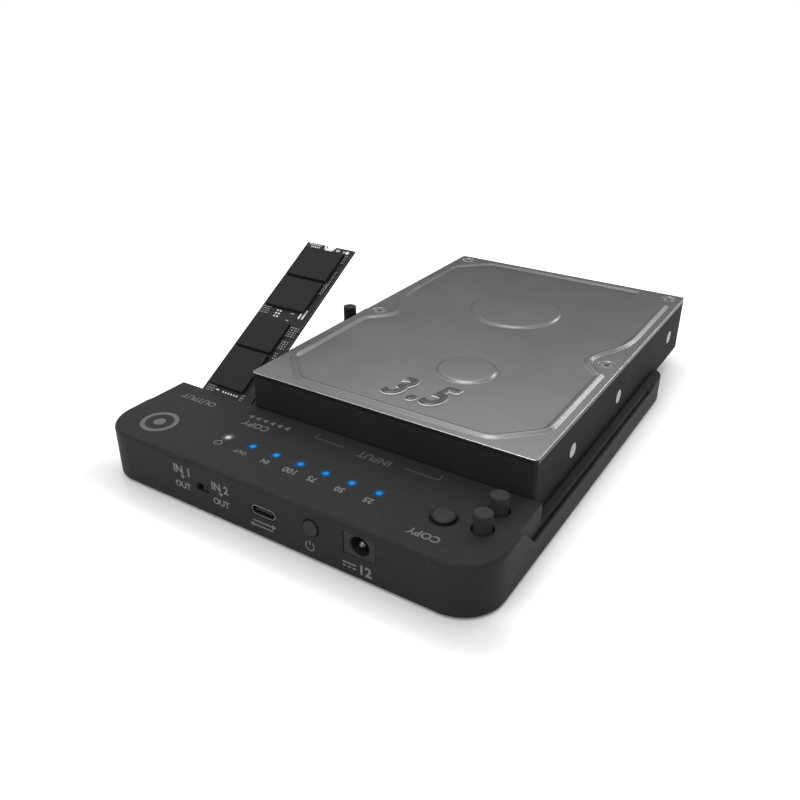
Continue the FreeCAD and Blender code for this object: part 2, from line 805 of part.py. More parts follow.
def terminals(y0, y1, offset, thickness):
    """Flat metal terminals above the upper face of both blades."""
    bars = []
    z = TRAY_TOP + connector_height + blade_thickness / 2 + offset
    for (x, _), count in zip(blade_places(), (power_terminal_count, signal_terminal_count)):
        for n in range(count):
            middle = x + (n - (count - 1) / 2) * terminal_pitch
            left = middle - terminal_width / 2
            bars.append(box(left, left + terminal_width, y0, y1, z, z + thickness))
    return bars


def card_socket(x):
    """An edge connector with a mouth that lets the card swing between flat and tilted."""
    half = card_width / 2 + socket_clearance + socket_wall
    slot_half = card_width / 2 + socket_clearance
    top = TRAY_TOP + socket_top
    back = PIVOT_Y - socket_front
    jaw = PIVOT_Y + socket_rear
    body = box(x - half, x + half, back, jaw, BOARD_TOP, top)
    turn = card_grip + spring_back_gap + spring_thickness + mouth_clearance + 0.3
    half_card = card_thickness / 2 + mouth_clearance
    low = PIVOT_Z - half_card
    rise = math.tan(TILT)
    over = half_card / math.cos(TILT)
    beyond = jaw + 1
    swing = [(PIVOT_Y, low), (beyond, low), (beyond, PIVOT_Z + over + (beyond - PIVOT_Y) * rise),
             (PIVOT_Y - half_card, PIVOT_Z + over - half_card * rise)]
    barrel = Part.makeCylinder(turn, 2 * slot_half, Vector(x - slot_half, PIVOT_Y, PIVOT_Z), Vector(1, 0, 0))
    limit = box(x - half, x + half, back + socket_wall, jaw + 1, BOARD_TOP + 1, top - socket_roof)
    lip = [(jaw - 0.9, top + 1), (jaw + 1, top - 2.2), (jaw + 1, top + 1)]
    cuts = [side_profile(swing, x - slot_half, x + slot_half), barrel.common(limit),
            side_profile(lip, x - half - 1, x + half + 1)]
    return less(body, cuts)


def spring_contacts(x):
    """The row of forked springs that grip a card's edge, set at the angle at which a card goes in."""
    inner = card_thickness / 2 + spring_gap
    outer = inner + spring_thickness
    back = -card_grip - spring_back_gap
    tip = back + spring_reach
    profile = [(back - spring_thickness, -outer), (tip, -outer), (tip, -inner), (back, -inner), (back, inner),
               (tip, inner), (tip, outer), (back - spring_thickness, outer)]
    forks = []
    for n in range(spring_count):
        middle = (n - (spring_count - 1) / 2) * spring_pitch
        fork = side_profile(profile, middle - spring_width / 2, middle + spring_width / 2)
        fork = along_card(fork)
        fork.translate(Vector(x - CARD_X, 0, 0))
        forks.append(fork)
    return forks


def port_shell():
    """The rounded metal shell of the data port."""
    y0 = FRONT + port_recess
    z = BOARD_TOP + port_height / 2
    outer = obround(PORT_X, z, port_width, port_height, y0, y0 + port_length)
    inner = obround(PORT_X, z, port_width - 2 * port_wall, port_height - 2 * port_wall,
                    y0 - 1, y0 + port_length + 1)
    return outer.cut(inner)


def port_tongue():
    """The plastic tongue inside the data port and the block that closes its rear."""
    y1 = FRONT + port_recess + port_length
    z = BOARD_TOP + port_height / 2
    fit = 2 * (port_wall + screw_clearance)
    block = obround(PORT_X, z, port_width - fit, port_height - fit, y1 - tongue_base_length, y1)
    root = y1 - tongue_base_length
    tongue = box(PORT_X - tongue_width / 2, PORT_X + tongue_width / 2, root - tongue_length, root,
                 z - tongue_thickness / 2, z + tongue_thickness / 2)
    return joined([block, tongue])


def inlet_body():
    """The power inlet's plastic body with its round bore and the pocket of its side spring."""
    y0 = FRONT + inlet_recess
    z = BOARD_TOP + inlet_body_height / 2
    body = box(INLET_X - inlet_width / 2, INLET_X + inlet_width / 2, y0, y0 + inlet_length,
               BOARD_TOP, BOARD_TOP + inlet_body_height)
    bore = rod(inlet_bore_radius, INLET_X, y0 - 1, y0 + inlet_bore_depth, z)
    mouth = Part.makeCone(inlet_bore_radius + 0.4, inlet_bore_radius, 0.4,
                          Vector(INLET_X, y0, z), Vector(0, 1, 0))
    pocket = box(INLET_X + inlet_bore_radius - 0.6, INLET_X + inlet_bore_radius + 1.0,
                 y0 + 1.5, y0 + 1.5 + inlet_spring_length + 0.4,
                 z - inlet_spring_width / 2 - 0.2, z + inlet_spring_width / 2 + 0.2)
    return less(body, [bore, mouth, pocket])


def inlet_pin():
    """The power inlet's centre pin with a rounded tip."""
    y1 = FRONT + inlet_recess + inlet_bore_depth
    z = BOARD_TOP + inlet_body_height / 2
    pin = rod(inlet_pin_radius, INLET_X, y1 - inlet_pin_length, y1, z)
    tip = [e for e in pin.Edges if abs(e.BoundBox.YMax - (y1 - inlet_pin_length)) < 0.01]
    return pin.makeChamfer(inlet_pin_radius / 2, tip)


def inlet_spring():
    """The leaf that presses on the side of the plug: a bowed strip in the body's pocket."""
    y0 = FRONT + inlet_recess + 1.7
    z = BOARD_TOP + inlet_body_height / 2
    x = INLET_X + inlet_bore_radius + 1.0
    length = inlet_spring_length
    bow = 1.0
    t = inlet_spring_thickness
    points = [(x, y0), (x - bow, y0 + length * 0.4), (x - bow, y0 + length * 0.6), (x, y0 + length),
              (x - t, y0 + length), (x - bow - t, y0 + length * 0.62), (x - bow - t, y0 + length * 0.38),
              (x - t, y0)]
    return plan_profile(points, z - inlet_spring_width / 2, z + inlet_spring_width / 2)


# ---- Buttons -------------------------------------------------------------------------------------------
def copy_button():
    """The round button on the deck: a domed cap, its flange under the deck and its stem."""
    flange_bottom = DECK_UNDER - button_flange_thickness
    stem_bottom = BOARD_TOP + switch_height + plunger_length
    edge = DECK_TOP + copy_proud * 0.45
    flange = copy_radius + button_flange
    points = [(0, stem_bottom), (button_stem_radius, stem_bottom), (button_stem_radius, flange_bottom),
              (flange, flange_bottom), (flange, DECK_UNDER), (copy_radius, DECK_UNDER), (copy_radius, edge),
              (copy_radius * 0.8, DECK_TOP + copy_proud * 0.9), (0, DECK_TOP + copy_proud)]
    return turned(points, COPY_X, FRONT + copy_depth, 0)


def copy_switch():
    """The push switch under the copy button, with a well for its plunger."""
    half = switch_side / 2
    y = FRONT + copy_depth
    body = box(COPY_X - half, COPY_X + half, y - half, y + half, BOARD_TOP, BOARD_TOP + switch_height)
    well = post(plunger_radius + plunger_clearance, COPY_X, y, BOARD_TOP + 1.0, BOARD_TOP + switch_height + 1)
    return body.cut(well)


def copy_plunger():
    """The switch's plunger, which moves with the button."""
    y = FRONT + copy_depth
    bottom = BOARD_TOP + 1.0 + button_travel + plunger_clearance
    return post(plunger_radius, COPY_X, y, bottom, BOARD_TOP + switch_height + plunger_length)


def power_button():
    """The button in the front face: cap, flange behind the wall and stem."""
    y0 = FRONT - power_proud
    z = BOTTOM + power_height
    flange_y = FRONT + wall
    cap = rod(power_radius, POWER_X, y0, flange_y, z)
    face_edge = [e for e in cap.Edges if abs(e.BoundBox.YMax - y0) < 0.01]
    cap = cap.makeChamfer(power_proud / 2, face_edge)
    flange = rod(power_radius + button_flange, POWER_X, flange_y, flange_y + button_flange_thickness, z)
    stem = rod(button_stem_radius, POWER_X, flange_y + button_flange_thickness, power_switch_front(), z)
    return joined([cap, flange, stem])


def power_switch_front():
    """Y of the tip of the power switch's plunger."""
    return BOARD_FRONT + 3.5


def power_switch():
    """The side-acting push switch on the board, with a well for its plunger."""
    half = switch_side / 2
    y = power_switch_front() + power_plunger_length
    z = BOTTOM + power_height
    body = box(POWER_X - half, POWER_X + half, y, y + power_switch_depth,
               BOARD_TOP, BOARD_TOP + power_switch_height)
    well = rod(plunger_radius + plunger_clearance, POWER_X, y - 1, y + power_switch_depth - 1.0, z)
    return body.cut(well)


def power_plunger():
    """The power switch's plunger, which moves with the button."""
    y = power_switch_front()
    z = BOTTOM + power_height
    end = y + power_plunger_length + power_switch_depth - 1.0 - button_travel - plunger_clearance
    return rod(plunger_radius, POWER_X, y, end, z)


# ---- Selector ------------------------------------------------------------------------------------------
def selector_body():
    """The slide switch's body, open in front for its slider."""
    y0 = FRONT + wall + selector_clearance
    z = BOTTOM + selector_height
    half = selector_body_width / 2
    body = box(SELECTOR_X - half, SELECTOR_X + half, y0, y0 + selector_body_depth,
               BOARD_TOP, BOARD_TOP + selector_body_height)
    foot_half = selector_knob_width / 2 + selector_foot
    room = foot_half + selector_travel / 2 + selector_clearance
    foot_height_half = selector_knob_height / 2 + 0.5
    track = box(SELECTOR_X - room, SELECTOR_X + room, y0 + 0.7, y0 + selector_body_depth - 0.7,
                z - foot_height_half - 0.15, z + foot_height_half + 0.15)
    neck = selector_knob_width / 2 + selector_travel / 2 + selector_clearance
    slot = box(SELECTOR_X - neck, SELECTOR_X + neck, y0 - 1, y0 + 1.0,
               z - selector_knob_height / 2 - 0.15, z + selector_knob_height / 2 + 0.15)
    return less(body, [track, slot])


def selector_slider():
    """The slider: a small knob in the window and a wider foot in the track, at the right-hand stop."""
    x = SELECTOR_X + selector_travel / 2
    z = BOTTOM + selector_height
    y0 = FRONT + wall + selector_clearance
    half = selector_knob_width / 2
    knob = box(x - half, x + half, FRONT + selector_knob_recess, y0 + 1.5,
               z - selector_knob_height / 2, z + selector_knob_height / 2)
    rib = box(x - 0.25, x + 0.25, FRONT + selector_knob_recess - 0.3, FRONT + selector_knob_recess,
              z - selector_knob_height / 2, z + selector_knob_height / 2)
    foot_half = half + selector_foot
    shoe = box(x - foot_half, x + foot_half, y0 + 0.85, y0 + selector_body_depth - 0.85,
               z - selector_knob_height / 2 - 0.5, z + selector_knob_height / 2 + 0.5)
    return joined([knob, rib, shoe])


# ---- Small parts on the board --------------------------------------------------------------------------
def bridge_chips():
    """Two flat controller chips on the board's underside."""
    chips = []
    half = chip_side / 2
    for x in (CARD_X + card_width, (CONNECTOR_X + SOURCE_SOCKET_X) / 2):
        y = FRONT + light_row_depth
        chips.append(box(x - half, x + half, y - half, y + half, BOARD_UNDER - chip_thickness, BOARD_UNDER))
    return chips


def capacitor(x, y):
    """A can capacitor on a square base."""
    half = can_radius + 0.2
    base = box(x - half, x + half, y - half, y + half, BOARD_TOP, BOARD_TOP + can_base_height)
    return joined([base, post(can_radius, x, y, BOARD_TOP + can_base_height, BOARD_TOP + can_height)])


def inductor(x, y):
    """A shielded coil: a block with bevelled upright edges on the board's underside."""
    half = coil_side / 2
    block = box(x - half, x + half, y - half, y + half, BOARD_UNDER - coil_height, BOARD_UNDER)
    upright = [e for e in block.Edges if e.BoundBox.ZLength > coil_height / 2]
    return block.makeChamfer(coil_side / 6, upright)


# ---- Holding pins --------------------------------------------------------------------------------------
def holding_pin(x, y, bottom):
    """A soft pin with a waist that takes the notch at the end of a flat card."""
    waist = card_pivot_height + pin_socket_depth - pin_waist_height / 2
    points = [(0, 0), (pin_radius, 0), (pin_radius, waist), (pin_waist_radius, waist),
              (pin_waist_radius, waist + pin_waist_height), (pin_radius, waist + pin_waist_height),
              (pin_radius, pin_length), (0, pin_length)]
    return turned(points, x, y, bottom)


# ---- Flash card ----------------------------------------------------------------------------------------
def card_board():
    """The card's circuit board with the half-round notch at its free end and the key slot at its plug end."""
    start = -card_grip
    end = card_length - card_grip
    half = card_thickness / 2
    board = box(-card_width / 2, card_width / 2, start, end, -half, half)
    notch = post(notch_radius, 0, end, -half - 1, half + 1)
    key = box(key_offset, key_offset + key_width, start - 1, start + key_depth, -half - 1, half + 1)
    shoulders = [box(side - shoulder_width, side + shoulder_width, start - 1, start + shoulder_depth,
                     -half - 1, half + 1) for side in (-card_width / 2, card_width / 2)]
    return along_card(less(board, [notch, key] + shoulders))


def notch_plating():
    """The plated half ring around the notch, on both faces."""
    end = card_length - card_grip
    half = card_thickness / 2
    rings = []
    for low in (half, -half - finger_thickness):
        ring = post(notch_radius + plating_width, 0, end, low, low + finger_thickness)
        ring = ring.cut(post(notch_radius, 0, end, low - 1, low + 1))
        rings.append(ring.common(box(-card_width, card_width, end - 5, end, low - 1, low + 1)))
    return [along_card(ring) for ring in rings]


def card_fingers():
    """The gold fingers on both faces of the card's plug end."""
    half = card_thickness / 2
    fingers = []
    for n in range(spring_count):
        middle = (n - (spring_count - 1) / 2) * spring_pitch
        at_key = abs(middle - key_offset - key_width / 2) < (key_width + spring_pitch) / 2
        if at_key or abs(middle) > card_width / 2 - shoulder_width - finger_inset:
            continue
        near = -card_grip + finger_inset
        for low in (half, -half - finger_thickness):
            finger = box(middle - finger_width / 2, middle + finger_width / 2, near, near + finger_length,
                         low, low + finger_thickness)
            fingers.append(along_card(finger))
    return fingers


def card_chips():
    """The four flat packages on the card's upper face."""
    half = card_thickness / 2
    left = -card_width / 2 + card_chip_left_inset
    chips = []
    for start, share, width in card_chips_laid:
        near = start * card_length - card_grip
        right = min(left + width, card_width / 2 - card_chip_left_inset)
        chip = box(left, right, near, near + share * card_length, half, half + card_chip_height)
        upper = [e for e in chip.Edges if abs(e.BoundBox.ZMin - half - card_chip_height) < 0.01]
        chips.append(along_card(chip.makeChamfer(0.15, upper)))
    return chips


# ---- Disk ----------------------------------------------------------------------------------------------
def bead_strokes():
    """Centre lines of the cover's raised beads, each a list of (x, y) points."""
    left, right = DISK_LEFT + bead_side_margin, DISK_RIGHT - bead_side_margin
    front, rear = DISK_FRONT + bead_end_margin, DISK_REAR - bead_end_margin
    cut, ease = bead_corner_cut, bead_corner_ease
    middle = DISK_FRONT + cover_screw_rows[0]
    slope = ease * math.sqrt(0.5)

    def bay(edge, inward):
        """The curve round a middle screw, from front to rear."""
        return [(edge + inward * share * bead_bay_depth, middle + along) for along, share in bead_bay]

    def cut_corner(x, y, dx, dy):
        """A cut corner with eased ends, from the side to the end; dx and dy point inwards."""
        return [(x, y + dy * (cut + ease)), (x + dx * slope, y + dy * (cut - slope)),
                (x + dx * (cut - slope), y + dy * slope), (x + dx * (cut + ease), y)]

    front_run = cut_corner(right, front, -1, 1) + cut_corner(left, front, 1, 1)[::-1][:-1]
    front_run = [(right, middle + bead_bay[0][0] + bead_gap)] + front_run
    left_run = [(left, front + cut + bead_gap)] + bay(left, 1) + cut_corner(left, rear, 1, -1)
    left_run.append((right - cut - bead_gap, rear))
    right_run = bay(right, -1)[1:] + [(right, rear - cut + bead_gap)]
    return [front_run, left_run, right_run]


def bead_outline(points, half, z):
    """The closed outline of a line with even width, mitred at its bends."""
    left, right = [], []
    for n, (x, y) in enumerate(points):
        before, after = points[max(n - 1, 0)], points[min(n + 1, len(points) - 1)]
        come = Vector(x - before[0], y - before[1], 0) if n else Vector(after[0] - x, after[1] - y, 0)
        leave = Vector(after[0] - x, after[1] - y, 0) if n < len(points) - 1 else Vector(come)
        come.normalize()
        leave.normalize()
        side = Vector(-come.y - leave.y, come.x + leave.x, 0)
        reach = half * 2 / side.Length / side.Length
        end = half * ((n == len(points) - 1) - (n == 0))
        left.append(Vector(x + side.x * reach + come.x * end, y + side.y * reach + come.y * end, z))
        right.append(Vector(x - side.x * reach + come.x * end, y - side.y * reach + come.y * end, z))
    around = left + right[::-1]
    return Part.makePolygon(around + around[:1])


def bead(points, z):
    """One raised bead with sloping flanks."""
    foot_wire = bead_outline(points, bead_half, z)
    crest_wire = bead_outline(points, bead_crest_half, z + bead_height)
    return Part.makeLoft([foot_wire, crest_wire], True, True)


def disk_cover():
    """The pressed cover: a plate with raised beads, two raised discs and a dimple for each screw."""
    top = TRAY_TOP + disk_height
    plate = slab(DISK_LEFT, DISK_RIGHT, DISK_FRONT, DISK_REAR, top - cover_thickness, top,
                 disk_corner_radius, disk_corner_radius)
    added = [bead(points, top) for points in bead_strokes()]
    for across, along, radius in (big_disc, small_disc):
        x, y = DISK_LEFT + across, DISK_FRONT + along
        profile = [(0, 0), (radius, 0), (radius - disc_rise * 1.2, disc_rise), (0, disc_rise)]
        added.append(turned(profile, x, y, top))
    plate = joined([plate] + added)
    dimples = []
    seat = top - cover_screw_sink
    for x, y in cover_screw_places():
        dimples.append(post(cover_screw_radius + 0.3, x, y, seat, top + 1))
        dimples.append(shank(screw_shaft_radius + screw_hole_clearance, x, y, top - cover_thickness - 1, top))
    return less(plate, dimples)


def cover_screw_places():
    """The cover's screws: one at each rear corner and one beside each middle bay."""
    return [(x, DISK_FRONT + row) for row in cover_screw_rows
            for x in (DISK_LEFT + cover_screw_inset_x, DISK_RIGHT - cover_screw_inset_x)]


def cover_screw(x, y):
    """A round-headed screw in the cover, driven down."""
    seat = TRAY_TOP + disk_height - cover_screw_sink
    head = post(cover_screw_radius, x, y, seat, seat + cover_screw_head_height)
    return joined([head, shank(screw_shaft_radius, x, y, seat - cover_screw_shaft_length, seat)])


def disk_board_box(grow, z0, z1):
    """The footprint of the disk's circuit board."""
    return box(DISK_LEFT + disk_board_margin - grow, DISK_RIGHT - disk_board_margin + grow,
               DISK_FRONT + plug_back - grow, DISK_FRONT + plug_back + disk_board_length + grow, z0, z1)


def disk_board_screw_places():
    """The four screws of the disk's circuit board."""
    side = disk_board_margin + disk_board_screw_inset
    xs = (DISK_LEFT + side, DISK_RIGHT - side)
    front = DISK_FRONT + plug_back
    ys = (front + disk_board_screw_inset, front + disk_board_length - disk_board_screw_inset)
    return [(x, y) for x in xs for y in ys]


def disk_casting():
    """The disk's cast base: platter bowl, arm pocket, board recess, connector notch and side holes."""
    under = TRAY_TOP
    top = TRAY_TOP + disk_height - cover_thickness
    body = slab(DISK_LEFT, DISK_RIGHT, DISK_FRONT, DISK_REAR, under, top,
                disk_corner_radius, disk_corner_radius)
    floor = under + bowl_floor
    half = plug_width / 2 + casting_notch_clearance
    cuts = [
        post(BOWL_RADIUS, BOWL_X, BOWL_Y, floor, top + 1),
        post(arm_pocket_radius, ARM_X, ARM_Y, floor, top + 1),
        disk_board_box(0.6, under - 1, under + disk_board_recess),
        box(CONNECTOR_X - half, CONNECTOR_X + half, DISK_FRONT - 1, DISK_FRONT + plug_back + 0.6,
            under - 1, under + connector_height + plug_height / 2 + 0.4),
    ]
    for row in side_hole_rows:
        y = DISK_FRONT + row
        for x in (DISK_LEFT - 1, DISK_RIGHT - side_hole_depth):
            cuts.append(Part.makeCylinder(side_hole_radius, side_hole_depth + 1,
                                          Vector(x, y, under + side_hole_height), Vector(1, 0, 0)))
    for x, y in cover_screw_places():
        cuts.append(shank(screw_shaft_radius + screw_clearance, x, y, top - 5, top + 1))
    body = less(body, cuts)
    board_top = under + disk_board_recess - disk_board_top_gap
    posts = [pillar(disk_board_post_half, x, y, board_top, under + disk_board_recess + 0.5)
             for x, y in disk_board_screw_places()]
    body = joined([body] + posts)
    pilots = [shank(screw_shaft_radius + screw_clearance, x, y, under, under + disk_board_pilot_depth)
              for x, y in disk_board_screw_places()]
    motor = post(motor_radius + 0.5, BOWL_X, BOWL_Y, under - 1, under + motor_sink + motor_height)
    return less(body, pilots + [motor])


def disk_board():
    """The disk's circuit board on its four posts."""
    top = TRAY_TOP + disk_board_recess - disk_board_top_gap
    board = disk_board_box(0, top - disk_board_thickness, top)
    holes = [shank(screw_shaft_radius + screw_hole_clearance, x, y, top - 3, top + 1)
             for x, y in disk_board_screw_places()]
    return less(board, holes)


def disk_board_screw(x, y):
    """A low-headed screw from below."""
    top = TRAY_TOP + disk_board_recess - disk_board_top_gap - disk_board_thickness
    return hexagon_screw(x, y, top - disk_board_screw_head, disk_board_screw_radius, disk_board_screw_head,
                         screw_shaft_radius, disk_board_screw_length)


def motor_plate():
    """The spindle motor's round plate in the casting's underside."""
    return post(motor_radius, BOWL_X, BOWL_Y, TRAY_TOP + motor_sink, TRAY_TOP + motor_sink + motor_height)


def spindle_hub():
    """The hub that carries the platters: a skirt, a barrel and a clamp plate."""
    z = TRAY_TOP + bowl_floor
    lowest = platter_bottom() - z
    top = lowest + (platter_count - 1) * platter_pitch + platter_thickness
    fit = screw_clearance
    points = [(0, 0), (hub_skirt_radius, 0), (hub_skirt_radius, lowest), (hub_radius - fit, lowest),
              (hub_radius - fit, top), (hub_skirt_radius, top), (hub_skirt_radius, top + hub_clamp_thickness),
              (0, top + hub_clamp_thickness)]
    return turned(points, BOWL_X, BOWL_Y, z)


def platter_bottom():
    """Z of the lowest platter's underside."""
    return TRAY_TOP + bowl_floor + platter_lift


def platters():
    """The polished platters."""
    discs = []
    for n in range(platter_count):
        z = platter_bottom() + n * platter_pitch
        disc = post(PLATTER_RADIUS, BOWL_X, BOWL_Y, z, z + platter_thickness)
        discs.append(disc.cut(post(hub_radius, BOWL_X, BOWL_Y, z - 1, z + 3)))
    return discs


def actuator():
    """The head arm: pivot barrel and a tapering arm over the upper platter."""
    floor = TRAY_TOP + bowl_floor
    z = platter_bottom() + (platter_count - 1) * platter_pitch + platter_thickness + arm_lift
    barrel = post(arm_pivot_radius, ARM_X, ARM_Y, floor, z + arm_thickness + arm_cap)
    root, tip = arm_root_width / 2, arm_tip_width / 2
    blade_points = [(-root, 0), (root, 0), (tip, arm_reach), (-tip, arm_reach)]
    arm = plan_profile(blade_points, 0, arm_thickness)
    arm.rotate(Vector(0, 0, 0), Vector(0, 0, 1), arm_bearing)
    arm.translate(Vector(ARM_X, ARM_Y, z))
    return joined([barrel, arm])


def magnet_block():
    """The magnet assembly beside the arm's pivot."""
    floor = TRAY_TOP + bowl_floor
    half = magnet_width / 2
    near = ARM_Y - arm_pivot_radius - magnet_gap
    return box(ARM_X - half, ARM_X + half, near - magnet_depth, near, floor, floor + magnet_height)


def disk_plug():
    """The disk's connector body with its two L-shaped blades."""
    middle = TRAY_TOP + connector_height
    y0, y1 = DISK_FRONT + plug_front, DISK_FRONT + plug_back
    body = box(CONNECTOR_X - plug_width / 2, CONNECTOR_X + plug_width / 2, y0, y1,
               TRAY_TOP + disk_board_recess - disk_board_top_gap, middle + plug_height / 2)
    foot = box(CONNECTOR_X - plug_width / 2, CONNECTOR_X + plug_width / 2, y0, y1 - 0.3,
               middle - plug_height / 2, TRAY_TOP + disk_board_recess)
    blades = [blade(x, width, DISK_FRONT + blade_start, y0 + 0.5) for x, width in blade_places()]
    return joined([body, foot] + blades)


# ---- Assembly ------------------------------------------------------------------------------------------
def build_dock():
    """Names every piece of the dock that doesn't move."""
    keep("top_housing", housing())
    keep("base_plate", base_plate())
    keep("rubber_feet", *[foot(x, y) for x, y in foot_places()])
    keep("housing_screws", *[housing_screw(x, y) for x, y in housing_screw_places()])
    keep("main_board", main_board())
    keep("board_screws", *[board_screw(x, y) for x, y in board_screw_places()])
    keep("power_light_pipe", light_pipe([power_light_place()]))
    keep("progress_light_pipes", light_pipe(light_places()))
    keep("board_lamps", *[lamp(x) for x in [power_light_place()] + light_places()])
    keep("disk_socket", disk_socket())
    tip = DISK_FRONT + nose_reach
    keep("disk_socket_terminals", *terminals(tip - slot_depth, tip - 0.6,
                                             blade_clearance - socket_terminal_thickness,
                                             socket_terminal_thickness))
    keep("target_card_socket", card_socket(CARD_X))
    keep("source_card_socket", card_socket(SOURCE_SOCKET_X))
    keep("source_socket_springs", *spring_contacts(SOURCE_SOCKET_X))
    keep("data_port_shell", port_shell())
    keep("data_port_tongue", port_tongue())
    keep("power_inlet_body", inlet_body())
    keep("power_inlet_pin", inlet_pin())
    keep("power_inlet_spring", inlet_spring())
    keep("power_switch", power_switch())
    keep("copy_switch", copy_switch())
    keep("selector_switch", selector_body())
    keep("bridge_chips", *bridge_chips())
    keep("capacitors", capacitor(INLET_X - can_beside_inlet, BOARD_FRONT + can_from_front),
         capacitor(COPY_X - can_beside_button, BOARD_REAR - can_from_rear))
    keep("power_inductors", *[inductor(INLET_X + n * coil_spacing, BOARD_FRONT + (n + 1) * coil_spacing)
                              for n in range(2)])


def build_controls():
    """Names the buttons, the slider and the holding pins."""
    keep("power_button", power_button())
    keep("power_switch_plunger", power_plunger())
    keep("copy_button", copy_button())
    keep("copy_switch_plunger", copy_plunger())
    keep("selector_slider", selector_slider())
    bottom = BOTTOM + base_thickness
    for name, (x, y) in zip(("front_parked_pin", "rear_parked_pin"), parking_places()):
        keep(name, holding_pin(x, y, bottom))
    keep("tray_pin", holding_pin(CARD_X, PIVOT_Y - card_grip + card_length, TRAY_TOP - pin_socket_depth))


def build_card():
    """Names the flash card's pieces and the springs that grip it."""
    keep("target_socket_springs", *spring_contacts(CARD_X))
    keep("card_board", card_board())
    keep("card_chips", *card_chips())
    keep("card_fingers", *card_fingers())
    keep("card_notch_plating", *notch_plating())


def build_disk():
    """Names the docked disk's pieces."""
    keep("disk_casting", disk_casting())
    keep("disk_cover", disk_cover())
    keep("disk_cover_screws", *[cover_screw(x, y) for x, y in cover_screw_places()])
    keep("disk_spindle_hub", spindle_hub())
    keep("disk_platters", *platters())
    keep("disk_head_arm", actuator())
    keep("disk_magnet_block", magnet_block())
    keep("disk_motor_plate", motor_plate())
    keep("disk_board", disk_board())
    keep("disk_board_screws", *[disk_board_screw(x, y) for x, y in disk_board_screw_places()])
    keep("disk_plug", disk_plug())
    keep("disk_plug_terminals", *terminals(DISK_FRONT + blade_start + 0.3, DISK_FRONT + plug_front, 0.0,
                                           plug_terminal_thickness))


def main():
    """Builds every node and writes one STEP file for each."""
    build_dock()
    build_controls()
    build_card()
    build_disk()
    os.makedirs("parts", exist_ok=True)
    for name, shape in NODES.items():
        shape.exportStep(os.path.join("parts", name + ".step"))


main()
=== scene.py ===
"""Looks of a drive duplicator with a docked disk and a tilted flash card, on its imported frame."""

import json
import logging
import math
from dataclasses import dataclass, field
from enum import Enum
from functools import cache
from typing import Any, Iterator, Mapping, Optional, Sequence, Union

import bmesh
import bpy
from mathutils import Euler, Matrix, Vector

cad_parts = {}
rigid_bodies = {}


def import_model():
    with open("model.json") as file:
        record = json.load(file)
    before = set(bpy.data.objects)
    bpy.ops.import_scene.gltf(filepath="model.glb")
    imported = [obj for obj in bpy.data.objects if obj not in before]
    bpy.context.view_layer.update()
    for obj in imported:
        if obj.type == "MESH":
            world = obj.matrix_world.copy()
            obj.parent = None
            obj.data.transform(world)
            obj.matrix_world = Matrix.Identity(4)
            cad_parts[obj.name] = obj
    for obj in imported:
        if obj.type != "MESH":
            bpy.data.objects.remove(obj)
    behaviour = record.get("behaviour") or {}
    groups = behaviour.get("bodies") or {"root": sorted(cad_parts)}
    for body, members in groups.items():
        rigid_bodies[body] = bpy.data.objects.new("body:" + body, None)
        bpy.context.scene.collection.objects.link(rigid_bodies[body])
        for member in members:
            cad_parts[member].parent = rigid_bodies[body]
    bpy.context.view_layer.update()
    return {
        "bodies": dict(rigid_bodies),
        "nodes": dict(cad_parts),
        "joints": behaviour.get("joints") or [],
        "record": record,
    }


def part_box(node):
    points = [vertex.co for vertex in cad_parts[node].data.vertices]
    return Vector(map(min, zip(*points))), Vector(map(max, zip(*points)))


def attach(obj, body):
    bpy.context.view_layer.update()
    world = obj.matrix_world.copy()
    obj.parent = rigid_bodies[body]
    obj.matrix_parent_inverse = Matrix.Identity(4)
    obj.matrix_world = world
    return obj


LOG = logging.getLogger("duplicator")
MM = 0.001
PRINT_HEIGHT = 0.02  # How far ink stands out of the plastic, in millimetres.
Colour = tuple[float, float, float]
Linear = tuple[float, float, float, float]
Point = tuple[float, float]
Place = tuple[float, float, float]
Value = Union["Signal", float, int]
Sockets = Mapping[Union[int, str], Any]
WHITE: Linear = (1.0, 1.0, 1.0, 1.0)
EVEN: Place = (1.0, 1.0, 1.0)


def light_value(level: float) -> float:
    """Linear light for one display level from 0 to 255."""
    share = level / 255
    return share / 12.92 if share <= 0.04045 else ((share + 0.055) / 1.055) ** 2.4


def paint(colour: Colour, factor: float = 1.0) -> Linear:
    """A display colour, lighter or darker by a factor, as the linear colour that a shader takes."""
    red, green, blue = (light_value(min(level * factor, 255.0)) for level in colour)
    return red, green, blue, 1.0


def grey(light: float) -> Linear:
    """A grey of so much linear light."""
    return light, light, light, 1.0


